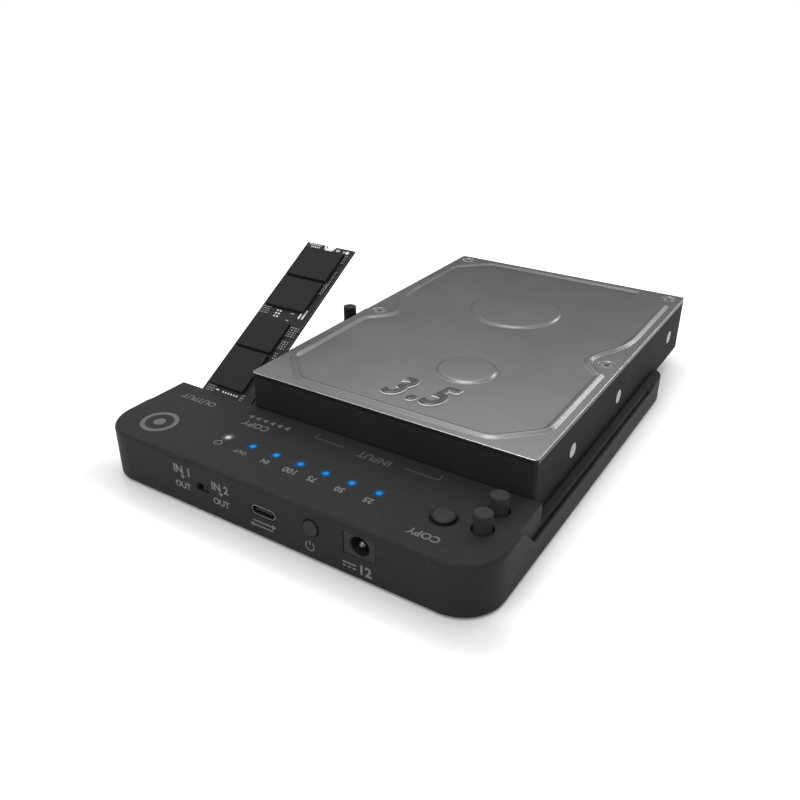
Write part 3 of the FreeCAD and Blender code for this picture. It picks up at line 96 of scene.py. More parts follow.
# ---- Shader building -------------------------------------------------------------------------
class Signal:
    """One output socket of a shader graph, on which values are worked out with arithmetic."""

    def __init__(self, graph: "Graph", socket: bpy.types.NodeSocket) -> None:
        """Keeps the graph and the output socket that is in it."""
        self.graph = graph
        self.socket = socket

    def __add__(self, other: Value) -> "Signal":
        """The sum."""
        return self.graph.math("ADD", self, other)

    def __sub__(self, other: Value) -> "Signal":
        """The difference."""
        return self.graph.math("SUBTRACT", self, other)

    def __rsub__(self, other: Value) -> "Signal":
        """The number less this value."""
        return self.graph.math("SUBTRACT", other, self)

    def __mul__(self, other: Value) -> "Signal":
        """The product."""
        return self.graph.math("MULTIPLY", self, other)

    def __pow__(self, other: Value) -> "Signal":
        """This value raised to a power."""
        return self.graph.math("POWER", self, other)

    def __rpow__(self, other: Value) -> "Signal":
        """The number raised to this value."""
        return self.graph.math("POWER", other, self)

    __radd__ = __add__
    __rmul__ = __mul__

    def step(self, low: float, high: float) -> "Signal":
        """A smooth rise from 0 to 1.

        Args:
            low: The value at which the rise starts.
            high: The value at which it ends.

        Returns:
            The smoothed value.
        """
        settings = {"interpolation_type": "SMOOTHSTEP"}
        sockets = {0: self, 1: low, 2: high, 3: 0.0, 4: 1.0}
        return self.graph.node("ShaderNodeMapRange", settings, sockets)


class Graph:
    """The node graph of one material or world."""

    def __init__(self, tree: bpy.types.NodeTree) -> None:
        """Starts on a node tree, which it empties."""
        self.tree = tree
        self.tree.nodes.clear()

    def node(
        self,
        kind: str,
        settings: Optional[Mapping[str, Any]] = None,
        sockets: Optional[Sockets] = None,
        output: Union[int, str] = 0,
    ) -> Signal:
        """Adds one node.

        Args:
            kind: The node's type.
            settings: Its own settings, set before its sockets.
            sockets: A value or a signal for each input, by number or name.
            output: The output that is handed back.

        Returns:
            The chosen output, or the first input of a node that ends the graph.
        """
        made = self.tree.nodes.new(kind)
        for key, value in (settings or {}).items():
            setattr(made, key, value)
        for key, value in (sockets or {}).items():
            if isinstance(value, Signal):
                self.tree.links.new(value.socket, made.inputs[key])
            else:
                made.inputs[key].default_value = value
        return Signal(self, made.outputs[output] if made.outputs else made.inputs[0])

    def math(self, operation: str, *values: Value) -> Signal:
        """One Math node on the values."""
        return self.node("ShaderNodeMath", {"operation": operation}, dict(enumerate(values)))

    def vector(self, operation: str, *values: Any, output: int = 0) -> Signal:
        """One Vector Math node on the vectors."""
        sockets = dict(enumerate(values))
        return self.node("ShaderNodeVectorMath", {"operation": operation}, sockets, output)

    def mix(self, share: Value, low: Any, high: Any) -> Signal:
        """One colour on the way from low, where the share is 0, to high, where it is 1."""
        settings = {"data_type": "RGBA", "clamp_factor": True}
        return self.node("ShaderNodeMix", settings, {0: share, 6: low, 7: high}, 2)

    @cache
    def place(self, stretch: Place = EVEN) -> Signal:
        """The point on the piece in millimetres, stretched by a factor for each axis."""
        point = self.node("ShaderNodeTexCoord", output="Object")
        return self.vector("MULTIPLY", point, tuple(axis / MM for axis in stretch))

    def noise(self, per_mm: float, detail: float = 3.0, roughness: float = 0.5,
              stretch: Place = EVEN) -> Signal:
        """Soft noise from 0 to 1.

        Args:
            per_mm: How many cells there are in a millimetre.
            detail: How many finer layers are added.
            roughness: How strong those are.
            stretch: A factor for each axis.

        Returns:
            The noise.
        """
        sockets = {"Vector": self.place(stretch), "Scale": per_mm, "Detail": detail,
                   "Roughness": roughness}
        return self.node("ShaderNodeTexNoise", {}, sockets)

    def cells(self, per_mm: float) -> Signal:
        """The distance to the nearest of scattered points, in cells."""
        return self.node("ShaderNodeTexVoronoi", {}, {"Vector": self.place(), "Scale": per_mm})

    def split(self, vector: Signal, axis: str) -> Signal:
        """One part of a vector: X, Y or Z."""
        return self.node("ShaderNodeSeparateXYZ", {}, {0: vector}, axis)

    def true_normal(self) -> Signal:
        """The surface normal as it is modelled."""
        return self.node("ShaderNodeNewGeometry", output="Normal")

    def rounded_normal(self, radius: float) -> Signal:
        """The surface normal with its edges rounded over a radius in millimetres."""
        return self.node("ShaderNodeBevel", {"samples": 4}, {"Radius": radius * MM})

    def edges(self, rounded: Signal, start: float = 0.005, full: float = 0.2) -> Signal:
        """How near an edge is: 0 on a flat face, 1 where the rounded normal leaves it most."""
        agree = self.vector("DOT_PRODUCT", rounded, self.true_normal(), output=1)
        return (1 - agree).step(start, full)

    def bump(self, height: Signal, depth: float, normal: Optional[Signal] = None) -> Signal:
        """A normal that a height bends.

        Args:
            height: The height, from 0 to 1.
            depth: What a height of 1 stands for, in millimetres.
            normal: The normal to start from.

        Returns:
            The bent normal.
        """
        sockets: dict[str, Any] = {"Height": height, "Distance": depth * MM, "Strength": 1.0}
        if normal is not None:
            sockets["Normal"] = normal
        return self.node("ShaderNodeBump", {}, sockets)

    def seen(self) -> Signal:
        """1 for rays from the camera, from a glossy face or through glass, else 0."""
        camera, glossy, through = (self.node("ShaderNodeLightPath", output=f"Is {kind} Ray")
                                   for kind in ("Camera", "Glossy", "Transmission"))
        return self.math("MAXIMUM", self.math("MAXIMUM", camera, glossy), through)

    def surface(self, colour: Union[Signal, Linear], roughness: Value, **sockets: Any) -> None:
        """Ends the graph in one principled shader.

        Args:
            colour: Its base colour.
            roughness: Its roughness.
            sockets: Its other inputs, by their names with _ for each space.
        """
        named = {key.replace("_", " "): value for key, value in sockets.items()}
        shader = self.node("ShaderNodeBsdfPrincipled", {},
                           {"Base Color": colour, "Roughness": roughness, **named})
        self.node("ShaderNodeOutputMaterial", {}, {"Surface": shader})


# ---- Finishes --------------------------------------------------------------------------------
@dataclass(frozen=True)
class Finish:
    """A kind of surface, which makes its material when it is first asked for."""

    name: str

    @cache
    def material(self) -> bpy.types.Material:
        """Builds the material once.

        Returns:
            The material.
        """
        made = bpy.data.materials.new(self.name)
        made.use_nodes = True
        self.fill(Graph(made.node_tree))
        return made

    def fill(self, graph: Graph) -> None:
        """Builds the finish in its material's graph."""
        raise NotImplementedError(self.name)


@dataclass(frozen=True)
class TintedFinish(Finish):
    """A finish with one main colour."""

    colour: Colour

    def tone(self, factor: float = 1.0) -> Linear:
        """The main colour, lighter or darker by a factor."""
        return paint(self.colour, factor)


@dataclass(frozen=True)
class MouldedPlastic(TintedFinish):
    """Moulded plastic with an eroded grain, faint clouding and edges painted lighter as a
    highlight.
    """

    roughness: float = 0.5
    grain_per_mm: float = 2.6
    grain_depth: float = 0.035
    edge_radius: float = 0.35
    # How much lighter the painted highlight on the edges is.
    edge_highlight: float = 1.5
    gloss: float = 0.2

    def fill(self, graph: Graph) -> None:
        """Builds the grain, the clouding, the rubbed patches and the painted edge highlight.

        Args:
            graph: The material's graph.
        """
        grain = graph.noise(self.grain_per_mm, detail=2.0)
        cloud = graph.noise(0.045)
        rubbed = graph.noise(0.35, detail=4.0).step(0.56, 0.72)
        rounded = graph.rounded_normal(self.edge_radius)
        near_edge = graph.edges(rounded)
        body = graph.mix(cloud * 0.6 + grain * 0.4, self.tone(0.9), self.tone(1.1))
        worn = graph.mix(rubbed * 0.22, body, self.tone(1.3))
        # Painted highlight: the edges are mixed towards a lighter tone of the colour.
        colour = graph.mix(near_edge * 0.75, worn, self.tone(self.edge_highlight))
        roughness = self.roughness + (grain - 0.5) * 0.22 - rubbed * 0.05 - near_edge * 0.08
        normal = graph.bump(grain, self.grain_depth, rounded)
        graph.surface(colour, roughness, Specular_IOR_Level=self.gloss, Normal=normal)


@dataclass(frozen=True)
class SoftRubber(TintedFinish):
    """Matt rubber with a fine skin, dust, and edges painted paler as a highlight."""

    # How much paler the dust and the painted edge highlight are.
    dust_and_highlight: float = 1.6
    gloss: float = 0.12

    def fill(self, graph: Graph) -> None:
        """Builds the skin, the dust and the edges painted paler as a highlight.

        Args:
            graph: The material's graph.
        """
        skin = graph.noise(3.4)
        dust = graph.noise(0.7, detail=5.0, roughness=0.65).step(0.45, 0.75)
        rounded = graph.rounded_normal(0.3)
        body = graph.mix(skin, self.tone(0.85), self.tone(1.15))
        # Dust and a painted highlight on the edges both mix towards the paler tone.
        colour = graph.mix(dust * 0.25 + graph.edges(rounded) * 0.5, body, self.tone(self.dust_and_highlight))
        normal = graph.bump(skin, 0.02, rounded)
        graph.surface(colour, 0.68 + skin * 0.14, Specular_IOR_Level=self.gloss, Normal=normal)


@dataclass(frozen=True)
class SatinSheet(TintedFinish):
    """Pressed sheet metal: brushed and smeared on top, with a painted light gradient, upward edges
    painted bright as a highlight, and plain flanks of their own colour.
    """

    # Colours of the painted highlight on upward edges, and of the faces that do not face up.
    edge: Colour
    flank: Colour
    grazing: Colour = (176, 176, 176)
    roughness: float = 0.31
    metallic: float = 0.8
    edge_radius: float = 0.42
    # A painted light gradient: how fast the tone changes along each axis, per millimetre.
    painted_light_gradient: Place = (0.0, 0.0, 0.0)
    brushing: Place = (0.05, 3.2, 3.2)

    def fill(self, graph: Graph) -> None:
        """Builds the brushing, the smears, the painted light gradient, the painted edge highlights
        and the flanks.

        Args:
            graph: The material's graph.
        """
        lines = graph.noise(1.3, detail=3.0, roughness=0.6, stretch=self.brushing)
        smear = graph.noise(0.035, detail=4.0, roughness=0.55)
        grain = graph.noise(4.0, detail=2.0)
        rounded = graph.rounded_normal(self.edge_radius)
        near_edge = graph.edges(rounded) * graph.split(rounded, "Z").step(0.15, 0.45)
        upward = graph.split(graph.true_normal(), "Z").step(0.3, 0.5)
        # Painted light: the tone changes steadily across the sheet.
        along = graph.vector("DOT_PRODUCT", graph.place(), self.painted_light_gradient, output=1)
        tone = 0.5 + along + (lines - 0.5) * 0.25 + (smear - 0.5) * 0.3
        body = graph.mix(tone, self.tone(0.84), self.tone(1.16))
        # Faces that do not face up take the flank colour.
        sheet = graph.mix(upward, paint(self.flank), body)
        # Painted highlight: the upward edges take the bright edge colour.
        colour = graph.mix(near_edge * 0.85, sheet, paint(self.edge))
        roughness = (self.roughness + (smear - 0.5) * 0.14 + (lines - 0.5) * 0.1
                     - near_edge * 0.06)
        normal = graph.bump(lines * 0.6 + grain * 0.4, 0.006, rounded)
        graph.surface(colour, roughness, Metallic=(upward + near_edge) * self.metallic,
                      Specular_IOR_Level=0.15, Specular_Tint=paint(self.grazing), Normal=normal)


@dataclass(frozen=True)
class CastMetal(TintedFinish):
    """Coated cast metal with a pebbled skin."""

    metallic: float = 0.0
    roughness: float = 0.7
    gloss: float = 0.06

    def fill(self, graph: Graph) -> None:
        """Builds the pebbles, the clouding and the edges painted lighter as a highlight.

        Args:
            graph: The material's graph.
        """
        cloud = graph.noise(0.06, detail=4.0)
        rounded = graph.rounded_normal(0.35)
        body = graph.mix(cloud, self.tone(0.85), self.tone(1.15))
        # Painted highlight: the edges are mixed towards a lighter tone.
        colour = graph.mix(graph.edges(rounded) * 0.5, body, self.tone(1.7))
        normal = graph.bump(graph.cells(1.9), 0.012, rounded)
        graph.surface(colour, self.roughness + (cloud - 0.5) * 0.2, Metallic=self.metallic,
                      Specular_IOR_Level=self.gloss, Normal=normal)


@dataclass(frozen=True)
class BareMetal(TintedFinish):
    """Turned, stamped or plated metal with a fine lay and a little tarnish."""

    roughness: float = 0.28
    tarnish: float = 0.75

    def fill(self, graph: Graph) -> None:
        """Builds the lay and the stains.

        Args:
            graph: The material's graph.
        """
        lay = graph.noise(5.5)
        stain = graph.noise(0.5, detail=5.0, roughness=0.6).step(0.45, 0.8)
        body = graph.mix(lay * 0.4, self.tone(), self.tone(0.9))
        colour = graph.mix(stain * 0.5, body, self.tone(self.tarnish))
        normal = graph.bump(lay, 0.004, graph.rounded_normal(0.12))
        graph.surface(colour, self.roughness + stain * 0.15, Metallic=0.95, Normal=normal)


@dataclass(frozen=True)
class SolderMask(TintedFinish):
    """A circuit board's lacquer over copper tracks, with raw glass fibre at its cut edges."""

    track: Colour
    edge: Colour
    gloss: float = 0.2

    def fill(self, graph: Graph) -> None:
        """Builds the tracks, the dots of plated holes and the cut edges.

        Args:
            graph: The material's graph.
        """
        along = graph.noise(1.0, detail=1.0, stretch=(0.12, 1.6, 1.6))
        across = graph.noise(1.0, detail=1.0, stretch=(1.6, 0.12, 0.12))
        tracks = along.step(0.52, 0.56) * 0.5 + across.step(0.54, 0.58) * 0.5
        via = 1 - graph.cells(0.62).step(0.13, 0.19)
        rounded = graph.rounded_normal(0.12)
        near_edge = graph.edges(rounded)
        lacquer = graph.mix(tracks * 0.55, self.tone(), paint(self.track))
        dotted = graph.mix(via * 0.6, lacquer, paint(self.track, 1.8))
        colour = graph.mix(near_edge, dotted, paint(self.edge))
        normal = graph.bump(tracks + via * 0.5, 0.02, rounded)
        roughness = 0.36 + near_edge * 0.3 + tracks * 0.08
        graph.surface(colour, roughness, Specular_IOR_Level=self.gloss, Normal=normal)


@dataclass(frozen=True)
class EpoxyPackage(TintedFinish):
    """The moulded body of a chip: fine matt epoxy with a rim painted faintly lighter as a
    highlight.
    """

    roughness: float = 0.52
    gloss: float = 0.1

    def fill(self, graph: Graph) -> None:
        """Builds the grain, the clouding and the rim's painted highlight.

        Args:
            graph: The material's graph.
        """
        grain = graph.noise(6.0, detail=2.0)
        cloud = graph.noise(0.12, detail=2.0)
        rounded = graph.rounded_normal(0.15)
        body = graph.mix(cloud, self.tone(0.94), self.tone(1.06))
        # Painted highlight: the rim is mixed towards a lighter tone.
        colour = graph.mix(graph.edges(rounded) * 0.45, body, self.tone(1.5))
        normal = graph.bump(grain, 0.012, rounded)
        graph.surface(colour, self.roughness + (grain - 0.5) * 0.18,
                      Specular_IOR_Level=self.gloss, Normal=normal)


@dataclass(frozen=True)
class PadPrint(TintedFinish):
    """Ink printed on plastic: thin, slightly uneven cover."""

    ground: Colour

    def fill(self, graph: Graph) -> None:
        """Builds the uneven cover over the ground's colour.

        Args:
            graph: The material's graph.
        """
        cover = graph.noise(2.4, detail=4.0, roughness=0.7).step(0.2, 0.62)
        colour = graph.mix(0.72 + cover * 0.28, paint(self.ground), self.tone())
        normal = graph.bump(graph.noise(4.0, detail=2.0), 0.01)
        graph.surface(colour, 0.55 + cover * 0.1, Specular_IOR_Level=0.2, Normal=normal)


@dataclass(frozen=True)
class LitPipe(Finish):
    """The clear end of a light pipe with its lamp on: bright in the middle, deeper at the rim."""

    core: Colour
    rim: Colour

    def fill(self, graph: Graph) -> None:
        """Builds the bright core and the rim.

        Args:
            graph: The material's graph.
        """
        flow = graph.noise(1.2)
        near_edge = graph.edges(graph.rounded_normal(0.5))
        colour = graph.mix(near_edge * 0.6 + flow * 0.3, paint(self.core), paint(self.rim))
        graph.surface(colour, 0.2 + flow * 0.1, Emission_Color=colour, Emission_Strength=0.9)


@dataclass(frozen=True)
class LampGlow(Finish):
    """A lit window and the light that it spills on the plastic round it, fading outwards."""

    core: Colour
    body: Colour
    spill: Colour
    core_share: float = 0.4
    spill_strength: float = 0.9

    def fill(self, graph: Graph) -> None:
        """Builds the window's light and the spill, by the distance from the middle of the disc.

        Args:
            graph: The material's graph.
        """
        spot = graph.node("ShaderNodeTexCoord", output="UV")
        distance = graph.vector("LENGTH", graph.vector("SUBTRACT", spot, (0.5, 0.5, 0.0)),
                                output=1) * 2
        flow = graph.noise(1.4, detail=2.0)
        inside = 1 - distance.step(self.core_share * 0.62, self.core_share * 1.25)
        middle = 1 - distance.step(0.0, self.core_share * 0.8)
        painted_light_gradient = (1 - distance).step(0.0, 1.0)
        lit = graph.mix(middle * 0.8 + flow * 0.2, paint(self.body), paint(self.core))
        colour = graph.mix(inside, paint(self.spill), lit)
        alpha = inside + (1 - inside) * painted_light_gradient * (0.92 + flow * 0.16) * self.spill_strength
        graph.surface(paint((8, 8, 9)), 0.6 + flow * 0.1, Emission_Color=colour,
                      Emission_Strength=1.0, Alpha=alpha, Specular_IOR_Level=0.1)


@dataclass(frozen=True)
class PaleFloor(Finish):
    """A pale floor that keeps the shadow, with painted shadow round the dock and a painted
    reflection of the dock's dark front before it.

    Distances are in millimetres, and how pale the floor is, is given as linear light.
    """

    dock_half_width: float = 69.0
    dock_half_length: float = 92.0
    # The painted reflection before the dock's front: where it starts and ends in front, and how far
    # it reaches to the sides.
    painted_reflection_span: tuple[float, float] = (80.0, 92.0)
    painted_reflection_reach: tuple[float, float] = (4.0, 18.0)
    # How far from the dock the painted shadow fades out.
    painted_shadow_reach: tuple[float, float] = (2.0, 26.0)
    pale: tuple[float, float] = (0.80, 0.82)
    # The painted reflection's grey.
    dark: float = 0.66
    # The floor's lift inside the painted shadow, and what is added beyond it.
    least_lift: float = 0.035
    added_lift: float = 0.385

    def fill(self, graph: Graph) -> None:
        """Builds the floor's tone and lift by the distance from the dock: the lift is least near
        the dock, which is painted shadow, and the tone is darker before its front, which is a
        painted reflection.

        Args:
            graph: The material's graph.
        """
        pale = graph.mix(graph.noise(0.01, detail=2.0), *(grey(light) for light in self.pale))
        across = self.beyond(graph, "X", self.dock_half_width)
        along = self.beyond(graph, "Y", self.dock_half_length)
        gap = (across * across + along * along) ** 0.5
        forward = graph.split(graph.place(), "Y") * -1
        # Painted reflection of the dock's dark front: the colour darkens just before it.
        before = forward.step(*self.painted_reflection_span) * (1 - gap.step(*self.painted_reflection_reach))
        tone = graph.mix(before, pale, grey(self.dark))
        matt = graph.node("ShaderNodeBsdfPrincipled", {}, {"Base Color": tone, "Roughness": 0.28})
        # Painted shadow round the dock: the lift is least near it.
        strength = graph.seen() * (self.least_lift
                                   + gap.step(*self.painted_shadow_reach) * self.added_lift)
        lift = graph.node("ShaderNodeEmission", {}, {"Color": WHITE, "Strength": strength})
        both = graph.node("ShaderNodeAddShader", {}, {0: matt, 1: lift})
        graph.node("ShaderNodeOutputMaterial", {}, {"Surface": both})

    def beyond(self, graph: Graph, axis: str, half: float) -> Signal:
        """How far a point is outside the dock along one axis."""
        away = graph.math("ABSOLUTE", graph.split(graph.place(), axis))
        return graph.math("MAXIMUM", away - half, 0.0)


class Shade(Enum):
    """The finishes of the object, one for each kind of surface."""

    HOUSING = MouldedPlastic("housing_plastic", (30, 29, 30), roughness=0.62, edge_radius=0.8,
                             edge_highlight=1.25, gloss=0.14)
    BASE = MouldedPlastic("base_plastic", (28, 28, 29), roughness=0.6)
    BUTTON = MouldedPlastic("button_plastic", (27, 27, 28), grain_per_mm=3.4, edge_highlight=1.7)
    SLIDER = MouldedPlastic("slider_plastic", (20, 20, 21), edge_highlight=2.0)
    CONNECTOR = MouldedPlastic("connector_plastic", (24, 24, 25), 0.45, edge_radius=0.15)
    INLET = MouldedPlastic("inlet_plastic", (32, 31, 32), edge_radius=0.15, edge_highlight=1.3)
    TONGUE = MouldedPlastic("tongue_plastic", (22, 22, 24), roughness=0.4, edge_radius=0.1)
    PLUNGER = MouldedPlastic("plunger_plastic", (206, 202, 190), edge_highlight=1.1)
    SWITCH = MouldedPlastic("switch_plastic", (36, 36, 37), edge_radius=0.15)
    LAMP = MouldedPlastic("lamp_body", (228, 226, 208), 0.4, edge_radius=0.1, edge_highlight=1.0)
    COIL = MouldedPlastic("coil_ferrite", (58, 57, 58), roughness=0.6, grain_depth=0.06)
    PIN = SoftRubber("pin_rubber", (46, 43, 45), 1.3)
    FOOT = SoftRubber("foot_rubber", (30, 30, 31))
    # The cover: a painted light gradient, lighter to the right and the front, painted highlights on
    # its upward edges, and dark flanks.
    COVER = SatinSheet("cover_sheet", (108, 106, 107), (246, 244, 245), (30, 29, 30),
                       painted_light_gradient=(0.002, -0.0045, 0.0))
    # The digits: darker tops, with painted highlights on their edges and on their flanks.
    DIGIT = SatinSheet("pressed_digit", (80, 78, 79), (250, 248, 249), (236, 234, 235),
                       edge_radius=0.36)
    PLATTER = BareMetal("platter_mirror", (214, 216, 220), 0.07, 0.95)
    HUB = BareMetal("turned_hub", (190, 191, 194))
    MAGNET = BareMetal("magnet_plate", (186, 186, 190), 0.3)
    ZINC = BareMetal("zinc_screw", (188, 188, 190), 0.34)
    BLACK_SCREW = CastMetal("black_screw", (58, 58, 60), 0.6, 0.4, 0.3)
    COVER_SCREW = CastMetal("cover_screw", (104, 102, 103), 0.75, 0.42, 0.3)
    NICKEL = BareMetal("nickel_pin", (96, 96, 98), 0.34)
    DARK_SHELL = BareMetal("dark_shell", (122, 122, 124), 0.3, 0.7)
    SPRING = BareMetal("spring_contact", (214, 176, 104), 0.26)
    GOLD = BareMetal("gold_plate", (226, 184, 98), 0.24, 0.85)
    TIN = BareMetal("tinned_pad", (214, 214, 212), 0.34, 0.88)
    TINNED_END = BareMetal("tinned_end", (150, 150, 148), 0.42, 0.8)
    CAN = BareMetal("capacitor_can", (202, 202, 206), 0.3)
    BUSH = BareMetal("bare_bush", (172, 172, 172), 0.5, 0.9)
    CASTING = CastMetal("coated_casting", (36, 35, 36))
    BOARD = SolderMask("dock_board", (18, 66, 42), (30, 92, 58), (150, 140, 100))
    CARD = SolderMask("card_board", (19, 19, 20), (28, 28, 29), (176, 176, 172))
    DISK_BOARD = SolderMask("disk_board", (20, 62, 46), (34, 88, 62), (150, 140, 100))
    CHIP = EpoxyPackage("chip_epoxy", (30, 30, 30), 0.62)
    DARK_CHIP = EpoxyPackage("dark_epoxy", (26, 26, 27))
    INK = PadPrint("grey_ink", (108, 108, 108), (56, 56, 57))
    LABEL_INK = PadPrint("label_ink", (102, 101, 102), (52, 52, 53))
    DIM_INK = PadPrint("dim_ink", (88, 87, 88), (48, 48, 49))
    # A darker copy of the ink for the disk's word and bracket, which lie in the disk's shadow:
    # painted shade.
    PAINTED_SHADE_INK = PadPrint("painted_shade_ink", (66, 65, 66), (40, 40, 41))
    BLUE_LIT = LitPipe("blue_window", (14, 112, 206), (6, 66, 130))
    WHITE_LIT = LitPipe("white_window", (206, 206, 204), (118, 120, 121))
    BLUE_GLOW = LampGlow("blue_glow", (34, 148, 224), (16, 118, 196), (8, 82, 130))
    WHITE_GLOW = LampGlow("white_glow", (222, 224, 223), (184, 186, 186), (118, 120, 121), 0.36)

    def material(self) -> bpy.types.Material:
        """The finish's material."""
        return self.value.material()


NODE_SHADES: Mapping[Shade, Sequence[str]] = {
    Shade.HOUSING: ("top_housing",),
    Shade.BASE: ("base_plate",),
    Shade.FOOT: ("rubber_feet",),
    Shade.BLACK_SCREW: ("housing_screws",),
    Shade.COVER_SCREW: ("disk_cover_screws",),
    Shade.BOARD: ("main_board",),
    Shade.ZINC: ("board_screws", "disk_board_screws"),
    Shade.WHITE_LIT: ("power_light_pipe",),
    Shade.BLUE_LIT: ("progress_light_pipes",),
    Shade.LAMP: ("board_lamps",),
    Shade.CONNECTOR: ("disk_socket", "target_card_socket", "source_card_socket", "disk_plug"),
    Shade.GOLD: ("disk_socket_terminals", "disk_plug_terminals", "card_fingers"),
    Shade.SPRING: ("source_socket_springs", "target_socket_springs", "power_inlet_spring"),
    Shade.NICKEL: ("power_inlet_pin",),
    Shade.DARK_SHELL: ("data_port_shell",),
    Shade.TONGUE: ("data_port_tongue",),
    Shade.INLET: ("power_inlet_body",),
    Shade.SWITCH: ("power_switch", "copy_switch", "selector_switch"),
    Shade.DARK_CHIP: ("bridge_chips",),
    Shade.CAN: ("capacitors",),
    Shade.COIL: ("power_inductors",),
    Shade.BUTTON: ("power_button", "copy_button"),
    Shade.PLUNGER: ("power_switch_plunger", "copy_switch_plunger"),
    Shade.SLIDER: ("selector_slider",),
    Shade.PIN: ("front_parked_pin", "rear_parked_pin", "tray_pin"),
    Shade.CARD: ("card_board",),
    Shade.CHIP: ("card_chips",),
    Shade.TIN: ("card_notch_plating",),
    Shade.CASTING: ("disk_casting",),
    Shade.COVER: ("disk_cover",),
    Shade.HUB: ("disk_spindle_hub", "disk_head_arm", "disk_motor_plate"),
    Shade.PLATTER: ("disk_platters",),
    Shade.MAGNET: ("disk_magnet_block",),
    Shade.DISK_BOARD: ("disk_board",),
}


def dress(nodes: Mapping[str, bpy.types.Object]) -> None:
    """Gives every node of the frame its finish, and stops if one is left out.

    Args:
        nodes: The node objects by name.
    """
    left = set(nodes)
    for shade, names in NODE_SHADES.items():
        for name in names:
            node = nodes[name]
            if not node.material_slots:
                node.data.materials.append(shade.material())
            for slot in node.material_slots:
                slot.material = shade.material()
            left.discard(name)
            LOG.info("%s wears %s", name, shade.value.name)
    if left:
        raise ValueError(f"no finish for {sorted(left)}")


# ---- Shape building --------------------------------------------------------------------------
def add_object(name: str, data: bpy.types.ID) -> bpy.types.Object:
    """Adds an object to the scene.

    Args:
        name: Its name.
        data: Its mesh, curve, lamp or camera.

    Returns:
        The object.
    """
    made = bpy.data.objects.new(name, data)
    bpy.context.scene.collection.objects.link(made)
    return made


def add_piece(name: str, mesh: bmesh.types.BMesh, body: str, shade: Shade,
              smooth: float = 0.0) -> None:
    """Makes a drawn mesh one piece that rides on a body.

    Args:
        name: The piece's name.
        mesh: Its mesh, which is used up.
        body: The body that carries it.
        shade: Its finish.
        smooth: The angle in degrees under which its faces shade as one.
    """
    data = bpy.data.meshes.new(name)
    mesh.to_mesh(data)
    mesh.free()
    data.materials.append(shade.material())
    if smooth:
        data.shade_smooth()
        data.set_sharp_from_angle(angle=math.radians(smooth))
    made = add_object(name, data)
    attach(made, body)
    LOG.info("%s rides on %s", name, body)


def face_frame(origin: Sequence[float], right: Sequence[float] = (1, 0, 0),
               up: Sequence[float] = (0, 1, 0)) -> Matrix:
    """A face's own frame, in which a drawing is made in millimetres.

    Args:
        origin: The drawing's origin, in metres.
        right: The drawing's x axis.
        up: The drawing's y axis.

    Returns:
        The matrix from the drawing to the object, whose third axis stands out of the face.
    """
    across, along = Vector(right), Vector(up)
    axes = Matrix((across * MM, along * MM, across.cross(along) * MM))
    return Matrix.Translation(origin) @ axes.transposed().to_4x4()


def turns(sides: int) -> list[float]:
    """The angles of a circle's points, in radians."""
    return [2 * math.pi * number / sides for number in range(sides)]


def circle(radius: float, x: float = 0.0, y: float = 0.0, sides: int = 32) -> list[Point]:
    """The points of a circle."""
    return [(x + radius * math.cos(angle), y + radius * math.sin(angle))
            for angle in turns(sides)]


def heading(spine: Sequence[Point], number: int) -> tuple[Vector, Vector]:
    """Which way a path runs at one of its points.

    Args:
        spine: The points of the path.
        number: Which point it is.

    Returns:
        The way along the path, and the way to its left.
    """
    before, after = spine[max(number - 1, 0)], spine[min(number + 1, len(spine) - 1)]
    way = Vector((after[0] - before[0], after[1] - before[1])).normalized()
    return way, Vector((-way.y, way.x))


def height_at(profile: Sequence[Point], distance: float) -> float:
    """The height of a profile at a distance from its crest.

    Args:
        profile: Distance and height of each point, from the crest outwards.
        distance: Where to read it.

    Returns:
        The height.
    """
    for (near, high), (far, low) in zip(profile, profile[1:]):
        if distance <= far:
            return high + (low - high) * (distance - near) / (far - near)
    return profile[-1][1]


@dataclass(frozen=True)
class Word:
    """A word or a digit, by its middle and its length over all.

    Its weight is how much heavier it is than the plain letter, as a share of the height. A
    height of 0 keeps the letter's own shape.
    """

    text: str
    x: float
    y: float
    width: float
    weight: float = 0.02
    height: float = 0.0


